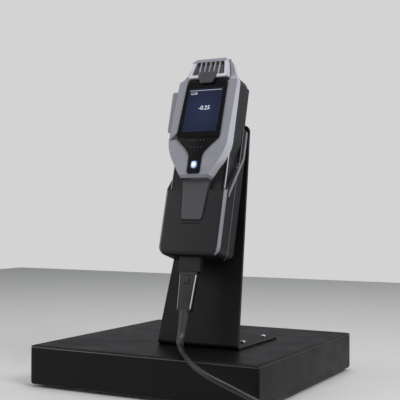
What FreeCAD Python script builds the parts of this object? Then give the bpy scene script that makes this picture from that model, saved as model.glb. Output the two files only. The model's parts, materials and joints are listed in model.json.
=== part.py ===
"""Hand-held autorefractor in its charging cradle, on a leaning plate stand.

The world frame stands on the table: +X to the right, +Y to the back, +Z up, origin at the middle
of the base's footprint.  Everything the stand's upright carries is drawn in the device frame,
which leans back with the plate: x to the right, z up along the plate, y to the back, y = 0 on
the plate's front face.  "Ahead" is the distance in front of the plate, so y = -ahead.
"""
import FreeCAD, Part
import math
import os
import re
import Sketcher

Vector = FreeCAD.Vector
Rotation = FreeCAD.Rotation
doc = FreeCAD.newDocument("autorefractor")

# ---------------------------------------------------------------- driving dimensions, mm and deg
SIZES = {
    # stand
    "base_side": 300, "base_top": 50, "base_round": 4, "base_wall": 3,
    "foot_rise": 3, "foot_radius": 9, "foot_inset": 30, "tray_thick": 2, "tray_gap": 0.3,
    "ballast_side": 200, "ballast_thick": 12, "boss_inset": 15, "boss_radius": 5,
    "bracket_x": 33.6, "bracket_y": -70, "lean": 15, "plate_thick": 3, "plate_low_width": 108,
    "plate_top_width": 70, "plate_length": 278, "plate_foot": 120, "plate_round": 8,
    "screw_radius": 2, "screw_gap": 0.2, "head_radius": 3.8, "head_thick": 2.4,
    # cradle
    "standoff": 14.5, "cradle_low": 100, "cradle_wall": 4.1, "cradle_gap": 0.5,
    "cradle_depth": 38, "cradle_split": 15.5, "cradle_front": 2.5, "cradle_lip": 79,
    "cradle_round": 11, "cradle_bevel_x": 4, "cradle_bevel_y": 6.6,
    "dock_floor": 3, "dock_depth": 11, "floor_thick": 3, "pad_thick": 1,
    "back_rise": 122, "arm_rise": 164, "arm_depth": 12.5, "block_width": 44, "block_rise": 60,
    "slot_gap": 0.8,
    # handset
    "handset_width": 72.8, "head_flare": 3.6, "handset_top": 345, "flare_low": 222,
    "flare_top": 245, "shoulder": 312, "handset_round": 9, "shell_wall": 2.5,
    "handle_back": 19, "head_back": 14.8, "head_rear_width": 72, "head_step": 27.5,
    "band_back": 38, "band_front": 48, "band_wall": 3,
    "tongue_low": 142.5, "tongue_width": 26.6, "tongue_front": 54, "neck_low": 192,
    "neck_width": 37, "chin_front": 63, "face_low": 238, "face_top": 316.5, "face_lean": 5,
    "window_thick": 1.6, "board_back": 40, "board_thick": 1.6,
    "button_up": 206.5, "button_width": 7.2, "button_tall": 8.4, "button_travel": 0.8,
    "button_gap": 0.3, "bar_reach": 12.2, "bar_width": 10.2, "bar_depth": 10, "bar_low": 254,
    "bar_tall": 53, "bar_travel": 1.5, "stem_radius": 2, "stem_gap": 0.08, "stem_inset": 14,
    "window_low_half": 29.2, "window_top_half": 27.6, "window_round": 3, "funnel_low_half": 8.6,
    "funnel_top_half": 9, "lcd_half": 23.6, "lcd_low": 9.5, "lcd_tall": 58.5, "lcd_thick": 3,
    "grip_thick": 1.2, "grip_inset": 12,
    "lid_low": 319, "lid_low_width": 54, "lid_top_width": 45, "lid_front": 60.5,
    "lid_slope": 5, "rib_pitch": 6.9, "rib_width": 2.2, "rib_count": 5,
    "pin_radius": 1, "pin_gap": 0.06, "hinge_drop": 2.2, "hinge_ahead": 5.5, "crown_step": 1,
    "rear_top": 320, "crown_thick": 4, "flank_gap": 1.4, "flank_rise": 8,
    "catch_low_half": 9, "catch_top_half": 11.6, "catch_thick": 3.4, "notch_half": 12.2,
    "housing_screw_radius": 1.25, "board_gap": 0.4,
    # optics
    "axis_up": 285, "lens_radius": 11.9, "tube_wall": 1.8, "rail_side": 20, "rail_radius": 1.5,
    "chassis_back": 34, "chassis_thick": 2, "carriage_back": 25, "carriage_thick": 3,
    "motor_radius": 7, "camera_half": 8, "rod_overrun": 1.5, "bezel_thick": 1.6,
    # cord
    "plug_ahead": 40, "plug_depth": 8, "plug_width": 23, "plug_low": 36, "plug_top": 82.3,
    "socket_width": 28.5, "socket_depth": 10, "nose_width": 16.4, "nose_depth": 5.4,
    "nose_rise": 11, "contact_ahead": 34, "contact_side": 8,
    "latch_half": 3, "latch_gap": 0.4, "wire_pitch": 3,
    "cord_diameter": 6, "boot_radius": 6.2, "boot_length": 20, "boot_end_radius": 4,
    "coil_x": 232, "coil_y": -197, "coil_radius": 33, "coil_half_width": 9, "coil_rise": 12,
    "mains_width": 30, "mains_length": 40, "mains_rise": 20, "mains_round": 5,
    "blade_side": 9.5, "blade_radius": 2, "blade_length": 19, "tie_width": 5, "tie_thick": 0.8,
}

sheet = doc.addObject("Spreadsheet::Sheet", "Sizes")
for row, (alias, number) in enumerate(SIZES.items(), start=1):
    sheet.set("A%d" % row, alias)
    sheet.set("B%d" % row, str(number))
    sheet.setAlias("B%d" % row, alias)
doc.recompute()


def size(alias):
    """The sheet's present value of one dimension."""
    return float(getattr(sheet, alias))


def linked(text):
    """An expression in aliases, turned into one that FreeCAD reads from the sheet."""
    return re.sub(r"[a-z][a-z_]*",
                  lambda word: "Sizes." + word.group() if word.group() in SIZES else word.group(),
                  str(text))


def tie(obj, path, text):
    obj.setExpression(path, linked(text))


# ---------------------------------------------------------------- small modelling helpers
def place(obj, x, y, z):
    """Bind an object's position to three expressions."""
    tie(obj, "Placement.Base.x", x)
    tie(obj, "Placement.Base.y", y)
    tie(obj, "Placement.Base.z", z)


def box(x, y, z, wide, deep, tall):
    """A box from its lowest corner."""
    obj = doc.addObject("Part::Box", "Box")
    tie(obj, "Length", wide)
    tie(obj, "Width", deep)
    tie(obj, "Height", tall)
    place(obj, x, y, z)
    return obj


def slab(half_wide, ahead_low, ahead_high, z_low, z_high):
    """A box centred on x = 0, between two distances ahead of the plate and two heights."""
    return box("-(%s)" % half_wide, "-(%s)" % ahead_high, z_low, "2*(%s)" % half_wide,
               "(%s) - (%s)" % (ahead_high, ahead_low), "(%s) - (%s)" % (z_high, z_low))


TURNS = {"up": Rotation(), "ahead": Rotation(Vector(1, 0, 0), 90),
         "right": Rotation(Vector(0, 1, 0), 90)}


def rod(radius, length, x, y, z, along="up"):
    """A cylinder that starts at a point and runs up, ahead (-y) or right (+x)."""
    obj = doc.addObject("Part::Cylinder", "Rod")
    obj.Placement.Rotation = TURNS[along]
    tie(obj, "Radius", radius)
    tie(obj, "Height", length)
    place(obj, x, y, z)
    return obj


def cone(radius_start, radius_end, length, x, y, z, along="up"):
    obj = doc.addObject("Part::Cone", "Cone")
    obj.Placement.Rotation = TURNS[along]
    tie(obj, "Radius1", radius_start)
    tie(obj, "Radius2", radius_end)
    tie(obj, "Height", length)
    place(obj, x, y, z)
    return obj


def cut(base, tools):
    obj = doc.addObject("Part::Cut", "Cut")
    obj.Base = base
    obj.Tool = tools[0] if len(tools) == 1 else group(tools)
    return obj


def fuse(shapes):
    obj = doc.addObject("Part::MultiFuse", "Fuse")
    obj.Shapes = shapes
    return obj


def group(shapes):
    obj = doc.addObject("Part::Compound", "Group")
    obj.Links = shapes
    return obj


def new_body():
    return doc.addObject("PartDesign::Body", "Body")


PLANE_ROLES = {"plan": "XY_Plane", "front": "XZ_Plane", "side": "YZ_Plane"}


def outline(body, plane, offset, corners):
    """A closed outline on one of the body's own planes, each corner bound to two expressions.

    plan is x, y seen from above; front is x, z, offset ahead of the plate; side is y, z."""
    sketch = body.newObject("Sketcher::SketchObject", "Outline")
    support = [o for o in body.Origin.OriginFeatures if o.Role == PLANE_ROLES[plane]][0]
    sketch.AttachmentSupport = [(support, "")]
    sketch.MapMode = "FlatFace"
    tie(sketch, "AttachmentOffset.Base.z", offset)
    count = len(corners)
    start = [Vector(10 * math.cos(2 * math.pi * i / count), 10 * math.sin(2 * math.pi * i / count))
             for i in range(count)]
    for i in range(count):
        sketch.addGeometry(Part.LineSegment(start[i], start[(i + 1) % count]))
    for i in range(count):
        sketch.addConstraint(Sketcher.Constraint("Coincident", i, 2, (i + 1) % count, 1))
    for i, (across, up) in enumerate(corners):
        index = sketch.addConstraint(Sketcher.Constraint("DistanceX", -1, 1, i, 1, start[i].x))
        tie(sketch, "Constraints[%d]" % index, across)
        index = sketch.addConstraint(Sketcher.Constraint("DistanceY", -1, 1, i, 1, start[i].y))
        tie(sketch, "Constraints[%d]" % index, up)
    return sketch


def mirrored(right):
    """The outline whose right half is given from the bottom up."""
    left = [("-(%s)" % across, up) for across, up in reversed(right)]
    return list(right) + left


def pad(body, sketch, length):
    feature = body.newObject("PartDesign::Pad", "Pad")
    feature.Profile = sketch
    tie(feature, "Length", length)
    sketch.Visibility = False
    doc.recompute()
    return feature


def pocket(body, sketch, length, forward=False):
    """Cut from the sketch's plane against its normal, or along it."""
    before = body.Shape.Volume
    feature = body.newObject("PartDesign::Pocket", "Pocket")
    feature.Profile = sketch
    feature.Reversed = forward
    tie(feature, "Length", length)
    doc.recompute()
    if body.Shape.Volume >= before - 1e-6:
        raise RuntimeError("a pocket of %s cut nothing" % body.Label)
    return feature


def pocket_both_ways(body, sketch, length):
    """Cut on both sides of the sketch's plane, half the length each way."""
    before = body.Shape.Volume
    feature = body.newObject("PartDesign::Pocket", "Pocket")
    feature.Profile = sketch
    feature.Midplane = True
    tie(feature, "Length", length)
    doc.recompute()
    if body.Shape.Volume >= before - 1e-6:
        raise RuntimeError("a pocket of %s cut nothing" % body.Label)
    return feature


def round_edges(body, radius, wanted):
    """Round every straight edge for which wanted(start, end) is true."""
    base = body.Tip
    names = []
    for number, edge in enumerate(body.Shape.Edges, start=1):
        if edge.Curve.TypeId != "Part::GeomLine":
            continue
        start, end = [vertex.Point for vertex in edge.Vertexes]
        if wanted(start, end):
            names.append("Edge%d" % number)
    if not names:
        raise RuntimeError("no edge of %s to round" % body.Label)
    feature = body.newObject("PartDesign::Fillet", "Fillet")
    feature.Base = (base, names)
    tie(feature, "Radius", radius)
    doc.recompute()
    return feature


def runs_ahead(start, end):
    """True for an edge that runs straight ahead (along y)."""
    return abs(start.x - end.x) < 0.01 and abs(start.z - end.z) < 0.01


def runs_up(start, end):
    return abs(start.x - end.x) < 0.01 and abs(start.y - end.y) < 0.01


NODES = []


def node(label, obj):
    """Name a finished sub-part."""
    obj.Label = label
    NODES.append(obj)
    return obj


def on_device(label, obj):
    """Name a sub-part drawn in the device frame, and set it on the leaning plate."""
    if obj.TypeId in ("Part::Box", "Part::Cylinder", "Part::Cone"):
        obj = group([obj])
    obj.Placement = FreeCAD.Placement(Vector(0, 0, 0), Rotation(Vector(-1, 0, 0), size("lean")))
    tie(obj, "Placement.Rotation.Angle", "lean")
    place(obj, "bracket_x", "bracket_y", "base_top")
    return node(label, obj)


def on_face(label, obj):
    """Name a sub-part drawn on the head's leaning face, whose origin is the face's low edge."""
    if obj.TypeId in ("Part::Box", "Part::Cylinder", "Part::Cone"):
        obj = group([obj])
    turn = size("lean") + size("face_lean")
    obj.Placement = FreeCAD.Placement(Vector(0, 0, 0), Rotation(Vector(-1, 0, 0), turn))
    tie(obj, "Placement.Rotation.Angle", "lean + face_lean")
    place(obj, "bracket_x",
          "bracket_y + face_low*sin(lean*1deg) - chin_front*cos(lean*1deg)",
          "base_top + face_low*cos(lean*1deg) + chin_front*sin(lean*1deg)")
    return node(label, obj)


# ---------------------------------------------------------------- stand
def make_base():
    body = new_body()
    half = "base_side/2"
    square = [("-" + half, "-" + half), (half, "-" + half), (half, half), ("-" + half, half)]
    pad(body, outline(body, "plan", "foot_rise", square), "base_top - foot_rise")
    round_edges(body, "base_round", runs_up)
    top = size("base_top")
    round_edges(body, "base_round", lambda a, b: a.z > top - 0.01 and b.z > top - 0.01)
    inner = "base_side/2 - base_wall"
    opening = [("-(%s)" % inner, "-(%s)" % inner), (inner, "-(%s)" % inner), (inner, inner),
               ("-(%s)" % inner, inner)]
    pocket(body, outline(body, "plan", "foot_rise", opening),
           "base_top - foot_rise - base_wall", forward=True)
    boss_at = "base_side/2 - boss_inset"
    bosses = []
    bores = []
    for across in (-1, 1):
        for along in (-1, 1):
            x = "%d*(%s)" % (across, boss_at)
            y = "%d*(%s)" % (along, boss_at)
            bosses.append(rod("boss_radius", "base_top - foot_rise - tray_thick - base_wall/2", x, y,
                              "foot_rise + tray_thick"))
            bores.append(rod("screw_radius - 0.4", "20", x, y, "foot_rise + tray_thick - 1"))
    for x, y in bracket_screw_places():
        bores.append(rod("screw_radius + screw_gap", "base_wall + 2", x, y, "base_top - base_wall - 1"))
    node("base_housing", cut(fuse([body] + bosses), bores))


def bracket_screw_places():
    return [("bracket_x + %d*(plate_low_width/2 - 14)" % side, "bracket_y + " + back)
            for side in (-1, 1) for back in ("45", "plate_foot - 15")]


def make_base_tray():
    """The sheet that closes the base, its screws, the ballast on it and the feet under it."""
    side = "base_side - 2*base_wall - 2*tray_gap"
    corner = "-(base_side/2 - base_wall - tray_gap)"
    sheet_metal = box(corner, corner, "foot_rise", side, side, "tray_thick")
    boss_at = "base_side/2 - boss_inset"
    foot_at = "base_side/2 - foot_inset"
    holes, screws, feet = [], [], []
    for across in (-1, 1):
        for along in (-1, 1):
            x = "%d*(%s)" % (across, boss_at)
            y = "%d*(%s)" % (along, boss_at)
            holes.append(rod("screw_radius", "tray_thick + 2", x, y, "foot_rise - 1"))
            shank = rod("screw_radius - 0.45", "16", x, y, "foot_rise - 0.5")
            head = rod("3", "1.8", x, y, "foot_rise - 1.8")
            screws.append(fuse([shank, head]))
            feet.append(rod("foot_radius", "foot_rise", "%d*(%s)" % (across, foot_at),
                            "%d*(%s)" % (along, foot_at), "0"))
    node("base_bottom_plate", cut(sheet_metal, holes))
    node("base_plate_screws", group(screws))
    node("base_feet", group(feet))
    node("ballast_plate", box("-ballast_side/2", "-ballast_side/2", "foot_rise + tray_thick",
                              "ballast_side", "ballast_side", "ballast_thick"))


def make_bracket():
    """One steel sheet bent into a foot on the base and an upright that leans back."""
    body = new_body()
    top_y = "bracket_y + plate_length*sin(lean*1deg)"
    top_z = "base_top + plate_length*cos(lean*1deg)"
    profile = [
        ("bracket_y", "base_top"),
        ("bracket_y + plate_foot", "base_top"),
        ("bracket_y + plate_foot", "base_top + plate_thick"),
        ("bracket_y + plate_thick*(1 + sin(lean*1deg))/cos(lean*1deg)", "base_top + plate_thick"),
        (top_y + " + plate_thick*cos(lean*1deg)", top_z + " - plate_thick*sin(lean*1deg)"),
        (top_y, top_z)]
    sketch = outline(body, "side", "bracket_x - plate_low_width/2", profile)
    pad(body, sketch, "plate_low_width")
    for side in (-1, 1):
        low_x = "bracket_x + %d*plate_low_width/2" % side
        top_x = "bracket_x + %d*plate_top_width/2" % side
        out_x = "bracket_x + %d*(plate_low_width/2 + 5)" % side
        wedge = [(low_x, "base_top + 2*plate_thick"), (out_x, "base_top + 2*plate_thick"),
                 (out_x, top_z + " + 2"), (top_x, top_z + " + 2")]
        pocket_both_ways(body, outline(body, "front", "0", wedge), "2*base_side")
    top = size("base_top") + size("plate_length") * math.cos(math.radians(size("lean"))) - 5
    round_edges(body, "plate_round", lambda a, b: min(a.z, b.z) > top and abs(a.x - b.x) < 0.5
                and abs(a.y - b.y) > 0.5)
    back = size("bracket_y") + size("plate_foot") - 0.01
    round_edges(body, "plate_round", lambda a, b: runs_up(a, b) and a.y > back)
    holes = [rod("screw_radius + screw_gap", "plate_thick + 2", x, y, "base_top - 1")
             for x, y in bracket_screw_places()]
    drilled = cut(body, holes)
    drills = group([rod("screw_radius + screw_gap", "plate_thick + 4", x, "plate_thick + 2", z, "ahead")
                    for x, z in mount_screw_places()])
    drills.Placement = FreeCAD.Placement(Vector(0, 0, 0), Rotation(Vector(-1, 0, 0), size("lean")))
    tie(drills, "Placement.Rotation.Angle", "lean")
    place(drills, "bracket_x", "bracket_y", "base_top")
    node("stand_bracket", cut(drilled, [drills]))
    screws = []
    nuts = []
    for x, y in bracket_screw_places():
        shank = rod("screw_radius", "plate_thick + base_wall + 6", x, y, "base_top - base_wall - 5.5")
        head = rod("head_radius", "head_thick", x, y, "base_top + plate_thick")
        screws.append(fuse([shank, head]))
        blank = rod("head_radius", "3.2", x, y, "base_top - base_wall - 3.2")
        bore = rod("screw_radius + 0.05", "5", x, y, "base_top - base_wall - 4")
        nuts.append(cut(blank, [bore]))
    node("bracket_screws", group(screws))
    node("bracket_nuts", group(nuts))


# ---------------------------------------------------------------- cradle
CRADLE_HALF = "(handset_width/2 + cradle_gap + cradle_wall)"
CAVITY_HALF = "(handset_width/2 + cradle_gap)"
CRADLE_BACK = "standoff"
CRADLE_FRONT = "(standoff + cradle_depth)"
CRADLE_SPLIT = "(standoff + cradle_split)"
FLOOR_LOW = "(cradle_low + dock_floor + dock_depth)"
SEAT = "(cradle_low + dock_floor + dock_depth + floor_thick + pad_thick)"
LIP = "(cradle_low + cradle_lip)"
ARM_FRONT = "(standoff + arm_depth)"
ARM_FOOT = "(cradle_low + 120)"


def mount_screw_places():
    return [("%d*15" % side, "cradle_low + 12 + " + up) for side in (-1, 1)
            for up in ("10", "block_rise - 10")]


def make_mount():
    """The block that stands the cradle off the plate, and its screws."""
    block = slab("block_width/2", "0", "standoff", "cradle_low + 12", "cradle_low + 12 + block_rise")
    holes = [rod("screw_radius + screw_gap", "standoff + 2", x, "1", z, "ahead")
             for x, z in mount_screw_places()]
    on_device("cradle_mount_block", cut(block, holes))
    screws = []
    for x, z in mount_screw_places():
        shank = rod("screw_radius", "plate_thick + standoff + 3.5", x, "plate_thick", z, "ahead")
        head = rod("head_radius", "head_thick", x, "plate_thick + head_thick", z, "ahead")
        screws.append(fuse([shank, head]))
    on_device("mount_screws", group(screws))


def side_cut(body, profile):
    """Cut a side profile (ahead, z) right through a body, from side to side."""
    corners = [("-(%s)" % ahead, up) for ahead, up in profile]
    pocket_both_ways(body, outline(body, "side", "0", corners), "4*handset_width")


def dock_cavity():
    """The room under the cradle's floor, right through both halves."""
    return slab(CAVITY_HALF + " - 4", "standoff + cradle_wall",
                "standoff + cradle_depth - cradle_front", "cradle_low + dock_floor", FLOOR_LOW + " + 1")


def make_cradle_back():
    body = new_body()
    right = [(CRADLE_HALF, "cradle_low"), (CRADLE_HALF, "cradle_low + arm_rise"),
             (CAVITY_HALF, "cradle_low + arm_rise"), (CAVITY_HALF, "cradle_low + back_rise")]
    pad(body, outline(body, "front", CRADLE_BACK, mirrored(right)), "cradle_split")
    low = size("cradle_low")
    round_edges(body, "cradle_round", lambda a, b: runs_ahead(a, b) and a.z < low + 0.01)
    arm_top = low + size("arm_rise") - 0.01
    outer = size("handset_width") / 2 + size("cradle_gap") + size("cradle_wall") - 0.01
    round_edges(body, "cradle_wall - 0.6",
                lambda a, b: runs_ahead(a, b) and a.z > arm_top and abs(a.x) > outer)
    inside = [("-" + CAVITY_HALF, FLOOR_LOW), (CAVITY_HALF, FLOOR_LOW),
              (CAVITY_HALF, "cradle_low + back_rise + 1"), ("-" + CAVITY_HALF, "cradle_low + back_rise + 1")]
    pocket(body, outline(body, "front", CRADLE_SPLIT, inside), "cradle_split - cradle_wall")
    side_cut(body, [(CRADLE_SPLIT + " + 1", ARM_FOOT + " - 8.3"), (ARM_FRONT, ARM_FOOT + " - 1.7"),
                    (ARM_FRONT, "cradle_low + arm_rise + 9"),
                    (CRADLE_SPLIT + " + 1", "cradle_low + arm_rise + 9")])
    holes = [rod("screw_radius + screw_gap", "cradle_wall + 2", x, "1 - standoff", z, "ahead")
             for x, z in mount_screw_places()]
    on_device("cradle_back", cut(body, [dock_cavity()] + holes))


def make_cradle_front():
    body = new_body()
    shell_top = ARM_FOOT + " - 6.6"
    face = [("-" + CRADLE_HALF, "cradle_low"), (CRADLE_HALF, "cradle_low"),
            (CRADLE_HALF, shell_top), ("-" + CRADLE_HALF, shell_top)]
    pad(body, outline(body, "front", CRADLE_SPLIT, face), "cradle_depth - cradle_split")
    low = size("cradle_low")
    round_edges(body, "cradle_round", lambda a, b: runs_ahead(a, b) and a.z < low + 0.01)
    inside = [("-" + CAVITY_HALF, FLOOR_LOW), (CAVITY_HALF, FLOOR_LOW),
              (CAVITY_HALF, shell_top + " + 1"), ("-" + CAVITY_HALF, shell_top + " + 1")]
    pocket(body, outline(body, "front", CRADLE_SPLIT, inside),
           "cradle_depth - cradle_split - cradle_front", forward=True)
    side_cut(body, [(CRADLE_FRONT + " + 1", LIP), (CRADLE_FRONT + " - 2.5", LIP + " + 0.5"),
                    (CRADLE_SPLIT, ARM_FOOT + " - 6.6"), (CRADLE_SPLIT + " - 1", ARM_FOOT + " + 9"),
                    (CRADLE_FRONT + " + 1", ARM_FOOT + " + 9")])
    side_cut(body, [(CRADLE_FRONT + " - 4", "cradle_low - 1"), (CRADLE_FRONT + " + 1", "cradle_low - 1"),
                    (CRADLE_FRONT + " + 1", "cradle_low + 5")])
    for side in (-1, 1):
        edge = "%d*%s" % (side, CRADLE_HALF)
        bevel = [(edge, "-(%s - cradle_bevel_y)" % CRADLE_FRONT),
                 ("%s - %d*cradle_bevel_x" % (edge, side), "-" + CRADLE_FRONT),
                 ("%s - %d*cradle_bevel_x" % (edge, side), "-(%s + 2)" % CRADLE_FRONT),
                 ("%s + %d*2" % (edge, side), "-(%s + 2)" % CRADLE_FRONT),
                 ("%s + %d*2" % (edge, side), "-(%s - cradle_bevel_y)" % CRADLE_FRONT)]
        pocket_both_ways(body, outline(body, "plan", "0", bevel), "2*handset_top")
    slot = mirrored([("tongue_width/2 + slot_gap", "tongue_low - slot_gap"),
                     ("neck_width/2 + slot_gap", "neck_low + slot_gap")])
    pocket(body, outline(body, "front", CRADLE_FRONT + " - cradle_front - 1", slot),
           "cradle_front + 2", forward=True)
    neck = slab("socket_width/2 - 5 + 0.3", "plug_ahead - 3.3", "plug_ahead + 3.3",
                "cradle_low - 1", "cradle_low + dock_floor + 1")
    on_device("cradle_front", cut(body, [dock_cavity(), neck]))


def contact_places():
    return [("%d*contact_side" % side, "-contact_ahead") for side in (-1, 1)]


def make_cradle_floor():
    half = CAVITY_HALF + " - 0.3"
    back = "standoff + cradle_wall + 0.3"
    front = "standoff + cradle_depth - cradle_front - 0.3"
    floor = slab(half, back, front, FLOOR_LOW, FLOOR_LOW + " + floor_thick")
    soft = slab(half + " - 2", back + " + 1", front + " - 1", SEAT + " - pad_thick", SEAT)
    holes = [rod("pin_radius + 0.6", "20", x, y, FLOOR_LOW + " - 5") for x, y in contact_places()]
    more_holes = [rod("pin_radius + 1", "20", x, y, FLOOR_LOW + " - 5") for x, y in contact_places()]
    on_device("cradle_floor", cut(floor, holes))
    on_device("seat_pad", cut(soft, more_holes))


def make_dock():
    """The charging board with its sprung contacts, and the socket that the cord plugs into."""
    board_low = "cradle_low + dock_floor + 2"
    board = slab(CAVITY_HALF + " - 4.4", "standoff + cradle_wall + 0.4",
                 "standoff + cradle_depth - cradle_front - 0.4", board_low, board_low + " + 1.6")
    on_device("dock_board", board)
    barrels = []
    for x, y in contact_places():
        tube = rod("2", "6", x, y, board_low + " + 1.6")
        bore = rod("pin_radius + pin_gap", "7", x, y, board_low + " + 2.6")
        barrels.append(cut(tube, [bore]))
    on_device("contact_barrels", group(barrels))
    for label, (x, y) in zip(("contact_pin_left", "contact_pin_right"), contact_places()):
        low = board_low + " + 4.4"
        on_device(label, rod("pin_radius", "%s - (%s)" % (SEAT, low), x, y, low))
    block = slab("socket_width/2", "plug_ahead - socket_depth/2", "plug_ahead + socket_depth/2",
                 "plug_top", "cradle_low")
    neck = slab("socket_width/2 - 5", "plug_ahead - 3", "plug_ahead + 3", "cradle_low - 1", board_low)
    port = slab("nose_width/2 + 0.3", "plug_ahead - nose_depth/2 - 0.3",
                "plug_ahead + nose_depth/2 + 0.3", "plug_top - 1", "plug_top + nose_rise + 0.5")
    wires = [rod("0.55", "cradle_low + 10 - plug_top", x, "-plug_ahead", "plug_top + 1")
             for x in wire_places()]
    on_device("dock_socket", cut(fuse([block, neck]), [port] + wires))
    on_device("socket_pins", group([rod("0.5", board_low + " - plug_top - 3", x, "-plug_ahead",
                                        "plug_top + 3") for x in wire_places()]))


def wire_places():
    return ["%s*wire_pitch" % step for step in (-1.5, -0.5, 0.5, 1.5)]


# ---------------------------------------------------------------- handset shells
HANDLE_HALF = "handset_width/2"
BAR_MIDDLE = "((band_back + band_front)/2 + 1)"
HEAD_HALF = "(handset_width/2 + head_flare)"


def handset_outline(inset):
    """The handset seen from the front, drawn in by an inset: handle, flare and head."""
    return mirrored([
        (HANDLE_HALF + " - %s" % inset, SEAT + " + %s" % inset),
        (HANDLE_HALF + " - %s" % inset, "flare_low"),
        (HEAD_HALF + " - %s" % inset, "flare_top"),
        (HEAD_HALF + " - %s" % inset, "shoulder"),
        (HEAD_HALF + " - 3 - %s" % inset, "rear_top - %s" % inset)])


def round_handset_foot(body):
    low = (size("cradle_low") + size("dock_floor") + size("dock_depth") + size("floor_thick")
           + size("pad_thick"))
    round_edges(body, "handset_round", lambda a, b: runs_ahead(a, b) and a.z < low + 0.01)


def make_rear_housing():
    body = new_body()
    pad(body, outline(body, "front", "head_step", handset_outline("0")), "band_back - head_step")
    handle = [("-" + HANDLE_HALF, SEAT), (HANDLE_HALF, SEAT),
              (HANDLE_HALF, "flare_low + 10"), ("-" + HANDLE_HALF, "flare_low + 10")]
    pad(body, outline(body, "front", "handle_back", handle), "head_step - handle_back")
    round_handset_foot(body)
    rear = [("-head_rear_width/2", "flare_low + 8"), ("head_rear_width/2", "flare_low + 8"),
            ("head_rear_width/2", "rear_top"), ("-head_rear_width/2", "rear_top")]
    pad(body, outline(body, "front", "head_back", rear), "head_step - head_back")
    side = size("head_rear_width") / 2 - 0.01
    rear_front = -size("head_step") - 0.01
    round_edges(body, "3", lambda a, b: runs_ahead(a, b) and abs(abs(a.x) - side) < 0.02
                and a.z > size("shoulder") and min(a.y, b.y) > rear_front)
    pocket(body, outline(body, "front", "band_back", handset_outline("shell_wall")),
           "band_back - head_step - shell_wall")
    inner = [("-(%s - shell_wall)" % HANDLE_HALF, SEAT + " + shell_wall + 3"),
             (HANDLE_HALF + " - shell_wall", SEAT + " + shell_wall + 3"),
             (HANDLE_HALF + " - shell_wall", "flare_low + 10"),
             ("-(%s - shell_wall)" % HANDLE_HALF, "flare_low + 10")]
    deep = "head_step + shell_wall + 0.1"
    pocket(body, outline(body, "front", deep, inner), deep + " - handle_back - shell_wall")
    bay = [("-(head_rear_width/2 - shell_wall)", "flare_low + 9.9"),
           ("head_rear_width/2 - shell_wall", "flare_low + 9.9"),
           ("head_rear_width/2 - shell_wall", "rear_top - shell_wall"),
           ("-(head_rear_width/2 - shell_wall)", "rear_top - shell_wall")]
    pocket(body, outline(body, "front", deep, bay), deep + " - head_back - shell_wall")
    bosses = []
    bores = [rod("lens_radius + 0.1", "shell_wall + 2", "0", "1 - head_back", "axis_up", "ahead")]
    for x, z in housing_screw_places():
        bosses.append(rod("3.1", "band_front - 3 - handle_back - 1", x, "-(handle_back + 1)", z, "ahead"))
        bores.append(rod("housing_screw_radius + 0.1", "60", x, "1 - handle_back", z, "ahead"))
        bores.append(rod("2*housing_screw_radius + 0.3", "2.7", x, "1 - handle_back", z, "ahead"))
    for x, y in contact_places():
        bores.append(rod("3.1", "2.5", x, y, SEAT + " - 1"))
    on_device("rear_housing", cut(fuse([body] + bosses), bores))


def housing_screw_places():
    return [("%d*(handset_width/2 - 6.4)" % side, up) for side in (-1, 1)
            for up in (SEAT + " + 12", "flare_low - 8")]


def make_band():
    """The light ring between the rear housing and the front covers."""
    body = new_body()
    pad(body, outline(body, "front", "band_back", handset_outline("0")), "band_front - band_back")
    round_handset_foot(body)
    pocket(body, outline(body, "front", "band_front + 1", handset_outline("band_wall")),
           "band_front - band_back + 2")
    holes = [rod("stem_radius + stem_gap", "band_wall + 4", "-%s - 2" % HEAD_HALF,
                 "-" + BAR_MIDDLE, up, "right") for up in stem_heights()]
    on_device("side_band", cut(body, holes))


def stem_heights():
    return ["bar_low + stem_inset", "bar_low + bar_tall - stem_inset"]


FACE_TOP_FRONT = "(chin_front - (face_top - face_low)*tan(face_lean*1deg))"


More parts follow.
